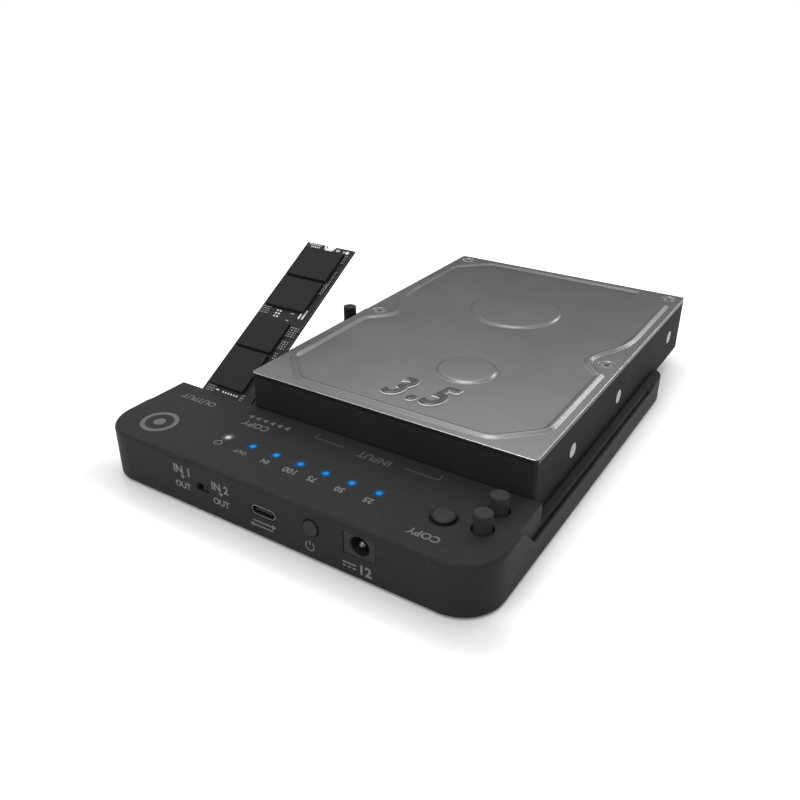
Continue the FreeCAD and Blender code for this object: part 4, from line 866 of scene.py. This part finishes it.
@dataclass
class Sketch:
    """Shapes of one finish that are drawn on a face in millimetres and become one piece."""

    name: str
    frame: Matrix
    mesh: bmesh.types.BMesh = field(default_factory=bmesh.new)

    def vertex(self, x: float, y: float, height: float) -> bmesh.types.BMVert:
        """A new corner of the mesh."""
        return self.mesh.verts.new(self.frame @ Vector((x, y, height)))

    def polygon(self, points: Sequence[Point], high: float = PRINT_HEIGHT,
                low: float = 0.0) -> None:
        """A flat shape with thickness.

        Args:
            points: The outline.
            high: The upper level, out of the face.
            low: The lower level.
        """
        under, upper = ([self.vertex(x, y, level) for x, y in points] for level in (low, high))
        self.mesh.faces.new(under[::-1])
        self.mesh.faces.new(upper)
        for number in range(len(points)):
            after = (number + 1) % len(points)
            self.mesh.faces.new((under[number], under[after], upper[after], upper[number]))

    def block(self, x: float, y: float, width: float, depth: float, high: float,
              corner: float = 0.12) -> None:
        """A rectangle with thickness, with small cut corners when seen from above.

        Args:
            x: Middle across.
            y: Middle along.
            width: Size across.
            depth: Size along.
            high: The upper level.
            corner: How much of each corner is cut off, as a share of the shorter side.
        """
        cut = min(width, depth) * corner
        a, b = width / 2, depth / 2
        corners = [(a - cut, -b), (a, -b + cut), (a, b - cut), (a - cut, b)]
        corners += [(-dx, -dy) for dx, dy in corners]
        self.polygon([(x + dx, y + dy) for dx, dy in corners], high)

    def band(self, spine: Sequence[Point], width: float) -> None:
        """A printed line of even width along a path.

        Args:
            spine: The points of the path.
            width: The line's width.
        """
        edges = []
        for number, (x, y) in enumerate(spine):
            side = heading(spine, number)[1] * (width / 2)
            edges.append(((x + side.x, y + side.y), (x - side.x, y - side.y)))
        for (left, right), (next_left, next_right) in zip(edges, edges[1:]):
            self.polygon([right, next_right, next_left, left])

    def ridge(self, spine: Sequence[Point], profile: Sequence[Point],
              rounding: Sequence[float] = (0.35, 0.6, 0.8, 0.94, 0.995)) -> None:
        """A soft ridge along a path, rounded at both ends.

        Args:
            spine: The points of the path.
            profile: Distance from the spine and height of each point, from the crest outwards.
            rounding: Where the round ends have rows, as shares of the ridge's half width.
        """
        reach = profile[-1][0]
        offsets = [-distance for distance, _ in profile[:0:-1]]
        offsets += [distance for distance, _ in profile]
        stations = [(0, -reach * share) for share in reversed(rounding)]
        stations += [(number, 0.0) for number in range(len(spine))]
        stations += [(len(spine) - 1, reach * share) for share in rounding]
        rows = []
        for number, beyond in stations:
            way, side = heading(spine, number)
            middle = Vector(spine[number]) + way * beyond
            narrow = math.sqrt(1 - (beyond / reach) ** 2)
            row = []
            for offset in offsets:
                place = middle + side * offset * narrow
                height = height_at(profile, math.hypot(offset * narrow, beyond))
                row.append(self.vertex(place.x, place.y, height))
            rows.append(row)
        for here, ahead in zip(rows, rows[1:]):
            for n in range(len(offsets) - 1):
                self.mesh.faces.new((here[n + 1], here[n], ahead[n], ahead[n + 1]))

    def lathe(self, x: float, y: float, profile: Sequence[Point], sides: int = 40) -> None:
        """A turned shape about an axis out of the face.

        Args:
            x: Middle across.
            y: Middle along.
            profile: Radius and level of each ring; a radius of 0 closes the shape.
            sides: How many sides stand for the circle.
        """
        rings = []
        for radius, level in profile:
            points = circle(radius, x, y, sides) if radius else [(x, y)]
            rings.append([self.vertex(*point, level) for point in points])
        for inner, outer in zip(rings, rings[1:]):
            for n in range(sides):
                quad = (inner[n % len(inner)], inner[(n + 1) % len(inner)],
                        outer[(n + 1) % len(outer)], outer[n % len(outer)])
                self.mesh.faces.new(tuple(dict.fromkeys(quad)))

    def letter(self, word: Word, thickness: float = PRINT_HEIGHT, slant: float = 0.0,
               round_over: float = 0.0) -> None:
        """Plain lettering, centred on a point.

        Args:
            word: What it reads, its place and its size.
            thickness: How far it stands out.
            slant: How far it leans.
            round_over: How far its edges are rounded, as a share of its height.
        """
        curve = bpy.data.curves.new(self.name, "FONT")
        curve.body = word.text
        curve.offset = word.weight
        curve.shear = slant
        curve.extrude = 0.0 if round_over else 0.1
        curve.bevel_depth = round_over
        curve.bevel_resolution = 3
        curve.resolution_u = 6
        carrier = add_object(self.name, curve)
        evaluated = carrier.evaluated_get(bpy.context.evaluated_depsgraph_get())
        shape = bpy.data.meshes.new_from_object(evaluated)
        bpy.data.objects.remove(carrier)
        bpy.data.curves.remove(curve)
        places = [vertex.co for vertex in shape.vertices]
        low, high = (Vector(limit(place[axis] for place in places) for axis in range(3))
                     for limit in (min, max))
        size = high - low
        scale = word.width / size.x
        tall = word.height / size.y if word.height else scale
        fit = Matrix.Diagonal((scale, tall, thickness / size.z, 1.0))
        shape.transform(self.frame @ Matrix.Translation((word.x, word.y, thickness / 2)) @ fit
                        @ Matrix.Translation(-(low + high) / 2))
        self.mesh.from_mesh(shape)
        bpy.data.meshes.remove(shape)

    def power_sign(self, x: float, y: float, radius: float, way: int) -> None:
        """The usual power sign: an open ring and a bar.

        Args:
            x: Middle across.
            y: Middle along.
            radius: The ring's radius.
            way: 1 with the opening up, -1 with it down.
        """
        start, sweep, steps = 125, 290, 28
        line, bar = radius * 0.24, (0.2, 1.25)
        angles = [math.radians(start + sweep * n / steps) for n in range(steps + 1)]
        self.band([(x + radius * math.cos(angle), y + way * radius * math.sin(angle))
                   for angle in angles], line)
        self.band([(x, y + way * radius * share) for share in bar], line)

    def piece(self, body: str, shade: Shade, smooth: float = 0.0) -> None:
        """Makes the drawn shapes one piece, as add_piece says."""
        bmesh.ops.recalc_face_normals(self.mesh, faces=self.mesh.faces[:])
        add_piece(self.name, self.mesh, body, shade, smooth)


# ---- Studio ----------------------------------------------------------------------------------
@dataclass(frozen=True)
class Panel:
    """A square soft lamp: its place and aim and side in metres, and its power in watts."""

    name: str
    place: Place
    aim: Place
    size: float
    power: float

    def hang(self) -> None:
        """Adds the lamp to the scene."""
        data = bpy.data.lights.new(self.name, "AREA")
        data.size = self.size
        data.energy = self.power
        made = add_object(self.name, data)
        made.location = self.place
        way = Vector(self.aim) - Vector(self.place)
        made.rotation_euler = way.to_track_quat("-Z", "Y").to_euler()


@dataclass
class Studio:
    """The pale floor, the soft light and the camera."""

    camera_place: Place = (0.130581, -0.227486, 0.144005)
    camera_turn: Place = (62.0143, -0.1718, 32.3721)
    camera_lens: float = 35.9086
    sensor_width: float = 36.0
    nearest: float = 0.005
    floor_size: float = 6.0
    ambient: float = 0.62
    panels: tuple[Panel, ...] = (
        Panel("key_panel", (-0.22, 0.46, 0.78), (0.0, 0.0, 0.0), 0.7, 1.8),
        Panel("rim_panel", (0.21, 0.7, 0.43), (0.0, 0.0, 0.03), 0.2, 1.2),
        Panel("top_panel", (0.0, -0.1, 0.95), (0.0, 0.0, 0.0), 0.5, 3.6),
        Panel("fill_panel", (0.0, -0.66, 0.68), (0.0, 0.0, 0.0), 0.8, 3.75),
    )

    def build(self) -> None:
        """Sets the camera, the lamps, the world and the floor."""
        self.camera()
        for panel in self.panels:
            panel.hang()
        self.world()
        self.floor()
        bpy.context.scene.view_settings.view_transform = "Standard"
        LOG.info("studio is set")

    def camera(self) -> None:
        """Places the camera."""
        data = bpy.data.cameras.new("camera")
        data.lens = self.camera_lens
        data.sensor_width = self.sensor_width
        data.clip_start = self.nearest
        made = add_object("camera", data)
        made.location = self.camera_place
        made.rotation_euler = Euler([math.radians(angle) for angle in self.camera_turn], "XYZ")
        bpy.context.scene.camera = made

    def world(self) -> None:
        """A white surround for what is seen or mirrored, and a plain soft light for the rest."""
        world = bpy.data.worlds.new("surround")
        world.use_nodes = True
        bpy.context.scene.world = world
        graph = Graph(world.node_tree)
        strength = self.ambient + graph.seen() * (1.0 - self.ambient)
        back = graph.node("ShaderNodeBackground", {}, {"Color": WHITE, "Strength": strength})
        graph.node("ShaderNodeOutputWorld", {}, {"Surface": back})

    def floor(self) -> None:
        """A wide square of pale floor under the object."""
        half = self.floor_size / 2
        data = bpy.data.meshes.new("floor")
        corners = [(-half, -half, 0), (half, -half, 0), (half, half, 0), (-half, half, 0)]
        data.from_pydata(corners, [], [(0, 1, 2, 3)])
        data.materials.append(PaleFloor("pale_floor").material())
        made = add_object("floor", data)


# ---- Dock ------------------------------------------------------------------------------------
def print_words(name: str, frame: Matrix, words: Sequence[Word], shade: Shade) -> None:
    """Prints words of one ink on the dock.

    Args:
        name: The piece's name.
        frame: The frame of the face.
        words: The words.
        shade: The ink.
    """
    sketch = Sketch(name, frame)
    for word in words:
        sketch.letter(word)
    sketch.piece("dock", shade)


@dataclass
class DeckPrints:
    """The plain words, numbers and marks on the deck, and its lit windows.

    Places are in millimetres from the middle of the deck's front edge, to the right and back.
    Those of words, which read from the rear, are to the left and to the front.
    """

    labels: tuple[Word, ...] = (
        Word("OUT", 19.3, -12.0, 4.6), Word("IN", 9.5, -12.0, 2.6),
        Word("100", 0.3, -12.0, 4.4), Word("75", -7.9, -12.0, 3.0),
        Word("50", -17.6, -12.0, 3.0), Word("25", -27.4, -12.0, 3.0))
    words: tuple[Word, ...] = (
        Word("COPY", -47.9, -7.0, 9.6, 0.03), Word("OUTPUT", 53.7, -29.5, 14.6),
        Word("COPY", 25.9, -26.5, 10.4))
    disk_word: Word = Word("INPUT", -16.8, -30.5, 11.6)
    arrow_place: Point = (-32.3, 30.5)
    arrow_count: int = 6
    arrow_pitch: float = 2.95
    arrow_length: float = 2.0
    arrow_half_width: float = 1.15
    sign_place: Point = (-28.8, 12.5)
    sign_radius: float = 1.25
    bracket_row: float = 31.0
    bracket_rise: float = 2.7
    bracket_sides: tuple[Point, ...] = ((-5.6, 5.3), (38.6, 27.3))
    bracket_line: float = 0.3
    ring_place: Point = (-53.7, 12.0)
    ring_radius: float = 5.4
    ring_line: float = 1.5
    dot_radius: float = 2.0
    glow_radius: float = 2.7
    glow_rise: float = 0.03

    def __post_init__(self) -> None:
        """Reads where the deck lies."""
        low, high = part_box("top_housing")
        self.top = high.z
        self.flat = face_frame((0.0, low.y, self.top))
        self.turned = face_frame((0.0, low.y, self.top), (-1, 0, 0), (0, -1, 0))

    def build(self) -> None:
        """Builds the prints and the lit windows."""
        print_words("deck_labels", self.turned, self.labels, Shade.LABEL_INK)
        print_words("deck_words", self.turned, self.words, Shade.DIM_INK)
        # The disk's word takes the ink darkened as painted shade of the disk.
        print_words("disk_word", self.turned, [self.disk_word], Shade.PAINTED_SHADE_INK)
        self.arrows()
        self.lamp_sign()
        self.bracket()
        self.ring()
        self.glow("progress_glow", "progress_light_pipes", 6, Shade.BLUE_GLOW)
        self.glow("power_glow", "power_light_pipe", 1, Shade.WHITE_GLOW)

    def arrows(self) -> None:
        """The row of arrows that shows which way data goes."""
        sketch = Sketch("deck_marks", self.flat)
        first, row = self.arrow_place
        for number in range(self.arrow_count):
            x = first + number * self.arrow_pitch
            tail, half = x + self.arrow_length, self.arrow_half_width
            sketch.polygon([(x, row), (tail, row - half), (tail, row + half)])
        sketch.piece("dock", Shade.DIM_INK)

    def lamp_sign(self) -> None:
        """The power sign by the white window."""
        sketch = Sketch("lamp_sign", self.flat)
        sketch.power_sign(*self.sign_place, self.sign_radius, -1)
        sketch.piece("dock", Shade.INK)

    def bracket(self) -> None:
        """The two halves of the bracket round the disk's word."""
        sketch = Sketch("disk_bracket", self.flat)
        row = self.bracket_row
        for outer, inner in self.bracket_sides:
            sketch.band([(outer, row + self.bracket_rise), (outer, row)], self.bracket_line)
            sketch.band([(outer, row), (inner, row)], self.bracket_line)
        # The bracket takes the ink darkened as painted shade of the disk.
        sketch.piece("dock", Shade.PAINTED_SHADE_INK)

    def ring(self) -> None:
        """A plain ring with a dot in the deck's front left corner."""
        sketch = Sketch("corner_ring", self.flat)
        ring = circle(self.ring_radius, *self.ring_place, sides=48)
        sketch.band(ring + ring[:1], self.ring_line)
        sketch.polygon(circle(self.dot_radius, *self.ring_place))
        sketch.piece("dock", Shade.DIM_INK)

    def glow(self, name: str, node: str, count: int, shade: Shade) -> None:
        """The light spilled round a row of lit windows.

        Args:
            name: The piece's name.
            node: The node of the light pipes.
            count: How many windows it has.
            shade: The glow's finish.
        """
        low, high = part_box(node)
        half = (high.y - low.y) / 2
        first, last = low.x + half, high.x - half
        mesh = bmesh.new()
        layer = mesh.loops.layers.uv.new("spot")
        spokes = circle(1.0)
        for number in range(count):
            share = number / (count - 1) if count > 1 else 0.5
            middle = Vector((first + (last - first) * share, (low.y + high.y) / 2,
                             self.top + self.glow_rise * MM))
            face = mesh.faces.new([
                mesh.verts.new(middle + Vector((x, y, 0)) * self.glow_radius * MM)
                for x, y in spokes])
            for loop, (x, y) in zip(face.loops, spokes):
                loop[layer].uv = (0.5 + x / 2, 0.5 + y / 2)
        add_piece(name, mesh, "dock", shade)


@dataclass
class FrontPrints:
    """The plain marks on the front face, in millimetres across from its middle and up."""

    words: tuple[Word, ...] = (
        Word("IN 1", -32.4, 13.0, 6.6, 0.03), Word("OUT", -32.4, 7.6, 6.4, 0.03),
        Word("IN 2", -16.9, 12.0, 6.6, 0.03), Word("OUT", -16.9, 6.8, 6.4, 0.03),
        Word("12", 34.6, 4.2, 3.6, 0.03))
    arrows: tuple[Point, ...] = ((-32.1, 10.5), (-16.7, 9.7))
    arrow_half: Point = (1.0, 0.6)
    power_place: Point = (15.9, 4.9)
    power_radius: float = 1.45
    port_place: Point = (-1.0, 5.1)
    port_row: float = 0.75
    port_line: float = 0.42
    port_reach: Point = (3.6, 4.9)
    port_head: Point = (1.5, 0.8)
    current_place: Point = (29.2, 4.2)
    current_row: float = 0.6
    current_line: float = 0.5
    current_half: float = 2.2
    dash_half: float = 0.5
    dash_offsets: tuple[float, ...] = (-1.7, 0.0, 1.7)

    def __post_init__(self) -> None:
        """Reads where the front face lies."""
        low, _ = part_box("top_housing")
        self.frame = face_frame((0.0, low.y, 0.0), up=(0, 0, 1))

    def build(self) -> None:
        """Builds every mark of the front face."""
        print_words("front_words", self.frame, self.words, Shade.INK)
        marks = Sketch("front_marks", self.frame)
        across, up = self.arrow_half
        for x, z in self.arrows:
            marks.polygon([(x - across, z + up), (x, z - up), (x + across, z + up)])
        marks.power_sign(*self.power_place, self.power_radius, 1)
        self.port_sign(marks)
        self.direct_current_sign(marks)
        marks.piece("dock", Shade.INK)

    def port_sign(self, sketch: Sketch) -> None:
        """Two arrows that stand for data going in and out.

        Args:
            sketch: The drawing to add it to.
        """
        x, z = self.port_place
        shaft, tip_reach = self.port_reach
        length, half = self.port_head
        for side in (-1, 1):
            row, tip = z + side * self.port_row, x + side * tip_reach
            sketch.band([(x - shaft, row), (x + shaft, row)], self.port_line)
            back = tip - side * length
            head = [(tip, row), (back, row + half), (back, row - half)]
            sketch.polygon(head if side < 0 else head[::-1])

    def direct_current_sign(self, sketch: Sketch) -> None:
        """A long bar over three short ones.

        Args:
            sketch: The drawing to add it to.
        """
        x, z = self.current_place
        bars = [(x, z + self.current_row, self.current_half)]
        bars += [(x + offset, z - self.current_row, self.dash_half)
                 for offset in self.dash_offsets]
        for middle, row, half in bars:
            sketch.band([(middle - half, row), (middle + half, row)], self.current_line)


# ---- Flash card ------------------------------------------------------------------------------
@dataclass(frozen=True)
class Blocks:
    """Equal blocks: the first one's middle and size, how many there are, and their spacing."""

    x: float
    y: float
    width: float
    depth: float
    columns: int = 1
    rows: int = 1
    step_x: float = 0.0
    step_y: float = 0.0
    stagger: float = 0.0
    height: float = 0.05

    def middles(self) -> Iterator[Point]:
        """The middle of each block, column by column; every second one is shifted by stagger."""
        for column in range(self.columns):
            for row in range(self.rows):
                shift = column * self.step_x + self.stagger * (row % 2)
                yield self.x + shift, self.y + row * self.step_y


@dataclass
class CardDetails:
    """The small parts, pads and marks on the flash card's upper face.

    Places are in millimetres across from its middle and along from its notched end.
    """

    axis: Vector
    length: float = 80.0
    thickness: float = 0.8
    pads: tuple[Blocks, ...] = (
        Blocks(9.3, 0.7, 0.5, 0.55, columns=7, step_x=-0.85),
        Blocks(8.0, 1.75, 0.5, 0.6, columns=5, step_x=-0.85),
        Blocks(-3.7, 1.4, 0.5, 1.1, columns=2, step_x=-0.9),
        Blocks(2.0, 33.4, 0.75, 0.7, 2, 3, 1.3, 1.3, height=0.06),
        Blocks(-6.9, 33.6, 0.7, 2.6, height=0.06),
        Blocks(-8.4, 32.6, 0.7, 4.2, height=0.06),
        Blocks(-3.4, 33.4, 1.3, 0.25, height=0.04),
        Blocks(-3.0, 36.6, 1.3, 0.25, height=0.04),
        Blocks(2.2, 71.0, 0.6, 0.6, columns=6, step_x=-1.25),
        Blocks(4.9, 70.8, 1.3, 0.45),
    )
    parts: tuple[Blocks, ...] = (
        Blocks(-9.4, 3.6, 1.0, 0.5, rows=4, step_y=1.1),
        Blocks(-9.7, 12.0, 0.5, 1.1, rows=5, step_y=2.2),
        Blocks(-9.3, 17.6, 1.0, 0.5, rows=6, step_y=0.95, stagger=0.35),
        Blocks(-7.2, 39.2, 1.0, 0.5, 3, 5, -1.25, 0.95),
        Blocks(-7.7, 45.6, 1.05, 0.55, 2, 4, -1.4, 1.0),
        Blocks(-8.2, 51.0, 1.05, 0.55, rows=3, step_y=1.05),
        Blocks(9.7, 33.0, 1.0, 0.5, 3, 4, -1.3, 0.95),
        Blocks(9.9, 53.3, 1.0, 0.52, 2, 14, -1.35, 1.02),
        Blocks(8.9, 70.0, 1.0, 0.5, 3, 4, -1.3, 0.95),
        Blocks(-6.7, 70.2, 1.05, 0.55, rows=4, step_y=1.0),
    )
    part_height: float = 0.32
    end_height: float = 0.36
    end_share: float = 0.26
    end_place: float = 0.4
    end_wrap: float = 1.12
    arrow: tuple[Point, ...] = ((-6.4, 1.6), (-7.3, 1.1), (-7.3, 2.1))
    dot_place: Point = (-8.5, 1.6)
    dot_radius: float = 0.75
    mark_height: float = 0.05

    def __post_init__(self) -> None:
        """Finds the card's upper face: x across it and y from its notched end to its plug."""
        low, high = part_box("card_board")
        normal = Vector((1, 0, 0)).cross(self.axis)
        middle = (low + high) / 2
        origin = middle + self.axis * self.length / 2 * MM + normal * self.thickness / 2 * MM
        self.frame = face_frame(origin, (-1, 0, 0), -self.axis)

    def build(self) -> None:
        """Builds the pads and the small parts."""
        self.tinned_pads()
        self.small_parts()

    def tinned_pads(self) -> None:
        """Tinned pads, test points and the marks at the notched end."""
        sketch = Sketch("card_pads", self.frame)
        for pads in self.pads:
            for x, y in pads.middles():
                sketch.block(x, y, pads.width, pads.depth, pads.height)
        sketch.polygon(self.arrow, self.mark_height)
        sketch.polygon(circle(self.dot_radius, *self.dot_place, sides=20), self.mark_height)
        sketch.piece("flash_card", Shade.TIN)

    def small_parts(self) -> None:
        """Small resistors and capacitors: a dark body between two tinned ends."""
        bodies = Sketch("card_part_bodies", self.frame)
        ends = Sketch("card_part_ends", self.frame)
        for parts in self.parts:
            width, depth = parts.width, parts.depth
            lying = width > depth
            end = ((width * self.end_share, depth * self.end_wrap) if lying
                   else (width * self.end_wrap, depth * self.end_share))
            for x, y in parts.middles():
                bodies.block(x, y, width, depth, self.part_height)
                for side in (-1, 1):
                    across = side * width * self.end_place if lying else 0.0
                    along = 0.0 if lying else side * depth * self.end_place
                    ends.block(x + across, y + along, *end, self.end_height)
        bodies.piece("flash_card", Shade.DARK_CHIP)
        ends.piece("flash_card", Shade.TINNED_END)


# ---- Disk ------------------------------------------------------------------------------------
def soft_path(points: Sequence[Point], steps: int = 6, reach: float = 4.0) -> list[Point]:
    """A smooth path through points, straight along its long stretches.

    Args:
        points: The points.
        steps: How many pieces each stretch is divided into.
        reach: The longest stretch that bends over its whole length.

    Returns:
        The points of the smooth path.
    """
    vectors = [Vector(point) for point in points]
    path: list[Point] = []
    for number in range(len(vectors) - 1):
        one, two = vectors[number], vectors[number + 1]
        stretch = (two - one).length
        span = min(stretch, reach)
        before = vectors[number - 1] if number else one * 2 - two
        after = vectors[number + 2] if number + 2 < len(vectors) else two * 2 - one
        way = (two - one).normalized()
        leave = ((one - before).normalized() + way).normalized() * span
        arrive = (way + (after - two).normalized()).normalized() * span
        for step in range(steps):
            share = step / steps
            t = 0.5 - 0.5 * math.cos(math.pi * share) if stretch > reach else share
            place = (one * (2 * t**3 - 3 * t**2 + 1) + leave * (t**3 - 2 * t**2 + t)
                     + two * (3 * t**2 - 2 * t**3) + arrive * (t**3 - t**2))
            path.append((place.x, place.y))
    path.append((vectors[-1].x, vectors[-1].y))
    return path


@dataclass
class CoverForms:
    """The soft pressed forms of the disk's cover: its beads, its round plateaus and its digits.

    Places are in millimetres across and along from the cover's front left corner.
    """

    width: float = 101.6
    length: float = 147.0
    side_margin: float = 4.1
    end_margin: float = 4.4
    corner_cut: float = 12.4
    corner_ease: float = 1.6
    gap: float = 2.6
    bay_row: float = 68.5
    bay_depth: float = 7.2
    bay: tuple[Point, ...] = (
        (-11.5, 0.0), (-8.9, 0.12), (-5.8, 0.53), (-2.6, 0.87), (0.7, 1.0), (4.5, 0.9),
        (8.5, 0.67), (13.0, 0.37), (18.5, 0.12), (24.5, 0.0))
    bead_profile: tuple[Point, ...] = (
        (0.0, 0.72), (0.3, 0.68), (0.6, 0.54), (0.9, 0.34), (1.2, 0.15), (1.5, 0.04),
        (1.8, -0.03))
    plateau_rise: float = 0.5
    plateau_rim: tuple[Point, ...] = (
        (-0.9, 0.7), (-0.6, 0.68), (-0.3, 0.57), (0.0, 0.38), (0.3, 0.18), (0.6, 0.05),
        (0.9, -0.02))
    plateaus: tuple[Place, ...] = ((50.0, 96.2, 17.2), (59.0, 39.4, 9.7))
    digits: tuple[Word, ...] = (
        Word("3", 47.0, 17.4, 7.9, -0.012, 13.8), Word(".", 54.0, 12.4, 3.4, -0.012, 3.6),
        Word("5", 61.2, 17.8, 8.9, -0.012, 14.4))
    digit_rise: float = 0.8
    digit_slant: float = 0.3
    digit_rounding: float = 0.045

    def __post_init__(self) -> None:
        """Reads where the cover lies; its highest points are the plateaus."""
        low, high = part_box("disk_cover")
        self.frame = face_frame((low.x, low.y, high.z - self.plateau_rise * MM))

    def build(self) -> None:
        """Builds the beads, the plateaus and the digits."""
        beads = Sketch("cover_beads", self.frame)
        for spine in self.strokes():
            beads.ridge(soft_path(spine), self.bead_profile)
        beads.piece("disk", Shade.COVER, smooth=60.0)
        rounds = Sketch("cover_plateaus", self.frame)
        for across, along, radius in self.plateaus:
            rim = [(radius + distance, height) for distance, height in self.plateau_rim]
            rounds.lathe(across, along, [(0.0, rim[0][1])] + rim, sides=96)
        rounds.piece("disk", Shade.COVER, smooth=60.0)
        sunk = self.frame @ Matrix.Translation((0, 0, -self.digit_rise))
        for number, digit in enumerate(self.digits):
            sketch = Sketch(f"cover_digit_{number + 1}", sunk)
            sketch.letter(digit, 2 * self.digit_rise, self.digit_slant, self.digit_rounding)
            sketch.piece("disk", Shade.DIGIT, smooth=40.0)

    def strokes(self) -> list[list[Point]]:
        """The centre lines of the three beads.

        Returns:
            A list of points for each bead.
        """
        left, right = self.side_margin, self.width - self.side_margin
        front, rear = self.end_margin, self.length - self.end_margin
        cut, gap = self.corner_cut, self.gap
        front_run = [(right, self.bay_row + self.bay[0][0] + gap)]
        front_run += self.corner(right, front, -1, 1) + self.corner(left, front, 1, 1)[:0:-1]
        left_run = [(left, front + cut + gap)] + self.round_bay(left, 1)
        left_run += self.corner(left, rear, 1, -1) + [(right - cut - gap, rear)]
        right_run = self.round_bay(right, -1)[1:] + [(right, rear - cut + gap)]
        return [front_run, left_run, right_run]

    def round_bay(self, edge: float, inward: int) -> list[Point]:
        """The curve round a middle screw, from front to rear."""
        return [(edge + inward * share * self.bay_depth, self.bay_row + along)
                for along, share in self.bay]

    def corner(self, x: float, y: float, across: int, along: int) -> list[Point]:
        """A cut corner with eased ends.

        Args:
            x: The corner's place across.
            y: Its place along.
            across: 1 or -1, towards the middle.
            along: 1 or -1, towards the middle.

        Returns:
            Its points, from the side to the end.
        """
        cut, ease = self.corner_cut, self.corner_ease
        slope = ease * math.sqrt(0.5)
        return [(x, y + along * (cut + ease)), (x + across * slope, y + along * (cut - slope)),
                (x + across * (cut - slope), y + along * slope), (x + across * (cut + ease), y)]


@dataclass
class DiskDetails:
    """What a docked disk shows over its plain solids: dark stars painted on the cover screws as the
    shade of their recesses, and bare side holes.
    """

    screw_radius: float = 2.3
    star_radius: float = 0.95
    star_wave: float = 0.22
    star_points: int = 6
    star_sides: int = 24
    star_levels: Point = (0.02, -0.05)
    bush_profile: tuple[Point, ...] = (
        (2.4, -0.05), (2.35, 0.03), (1.72, 0.03), (1.6, -0.08), (0.8, -0.2), (0.55, -0.5),
        (0.55, -2.0))

    def build(self, mounts: Sequence[Mapping[str, Any]]) -> None:
        """Builds the disk's small details.

        Args:
            mounts: The record's mounts, which say where the side holes are.
        """
        self.painted_recess_stars()
        for mount in mounts:
            if mount["name"].startswith("disk_") and "hole" in mount["name"]:
                self.bush(mount["name"], Vector(mount["pos_m"]))

    def painted_recess_stars(self) -> None:
        """A dark star on each cover screw: painted shade that stands for its star recess."""
        low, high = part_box("disk_cover_screws")
        sketch = Sketch("cover_screw_stars", face_frame((0.0, 0.0, high.z)))
        for x in (low.x / MM + self.screw_radius, high.x / MM - self.screw_radius):
            for y in (low.y / MM + self.screw_radius, high.y / MM - self.screw_radius):
                points = []
                for angle in turns(self.star_sides):
                    wave = math.cos(self.star_points * angle)
                    reach = self.star_radius + self.star_wave * wave
                    points.append((x + reach * math.cos(angle), y + reach * math.sin(angle)))
                sketch.polygon(points, *self.star_levels)
        # The dark slider plastic stands for the shade in the recess.
        sketch.piece("disk", Shade.SLIDER)

    def bush(self, name: str, place: Vector) -> None:
        """The bare machined ring in one side hole.

        Args:
            name: The hole's name.
            place: Where it is, in metres.
        """
        low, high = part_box("disk_casting")
        left = place.x < (low.x + high.x) / 2
        origin = (low.x if left else high.x, place.y, place.z)
        sketch = Sketch(name + "_bush", face_frame(origin, (0, -1 if left else 1, 0), (0, 0, 1)))
        sketch.lathe(0.0, 0.0, self.bush_profile)
        sketch.piece("disk", Shade.BUSH, smooth=30.0)


# ---- Whole object ----------------------------------------------------------------------------
def joint_axis(joints: Sequence[Mapping[str, Any]], name: str) -> Vector:
    """The direction of the joint of a name."""
    return Vector(next(joint["axis"] for joint in joints if joint["name"] == name))


def main() -> None:
    """Dresses the frame and builds every piece in order."""
    logging.basicConfig(level=logging.INFO, format="%(name)s: %(message)s")
    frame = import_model()
    dress(frame["nodes"])
    Studio().build()
    DeckPrints().build()
    FrontPrints().build()
    CardDetails(joint_axis(frame["joints"], "card_unplug")).build()
    CoverForms().build()
    DiskDetails().build(frame["record"]["mounts"])


if __name__ == "__main__":
    main()
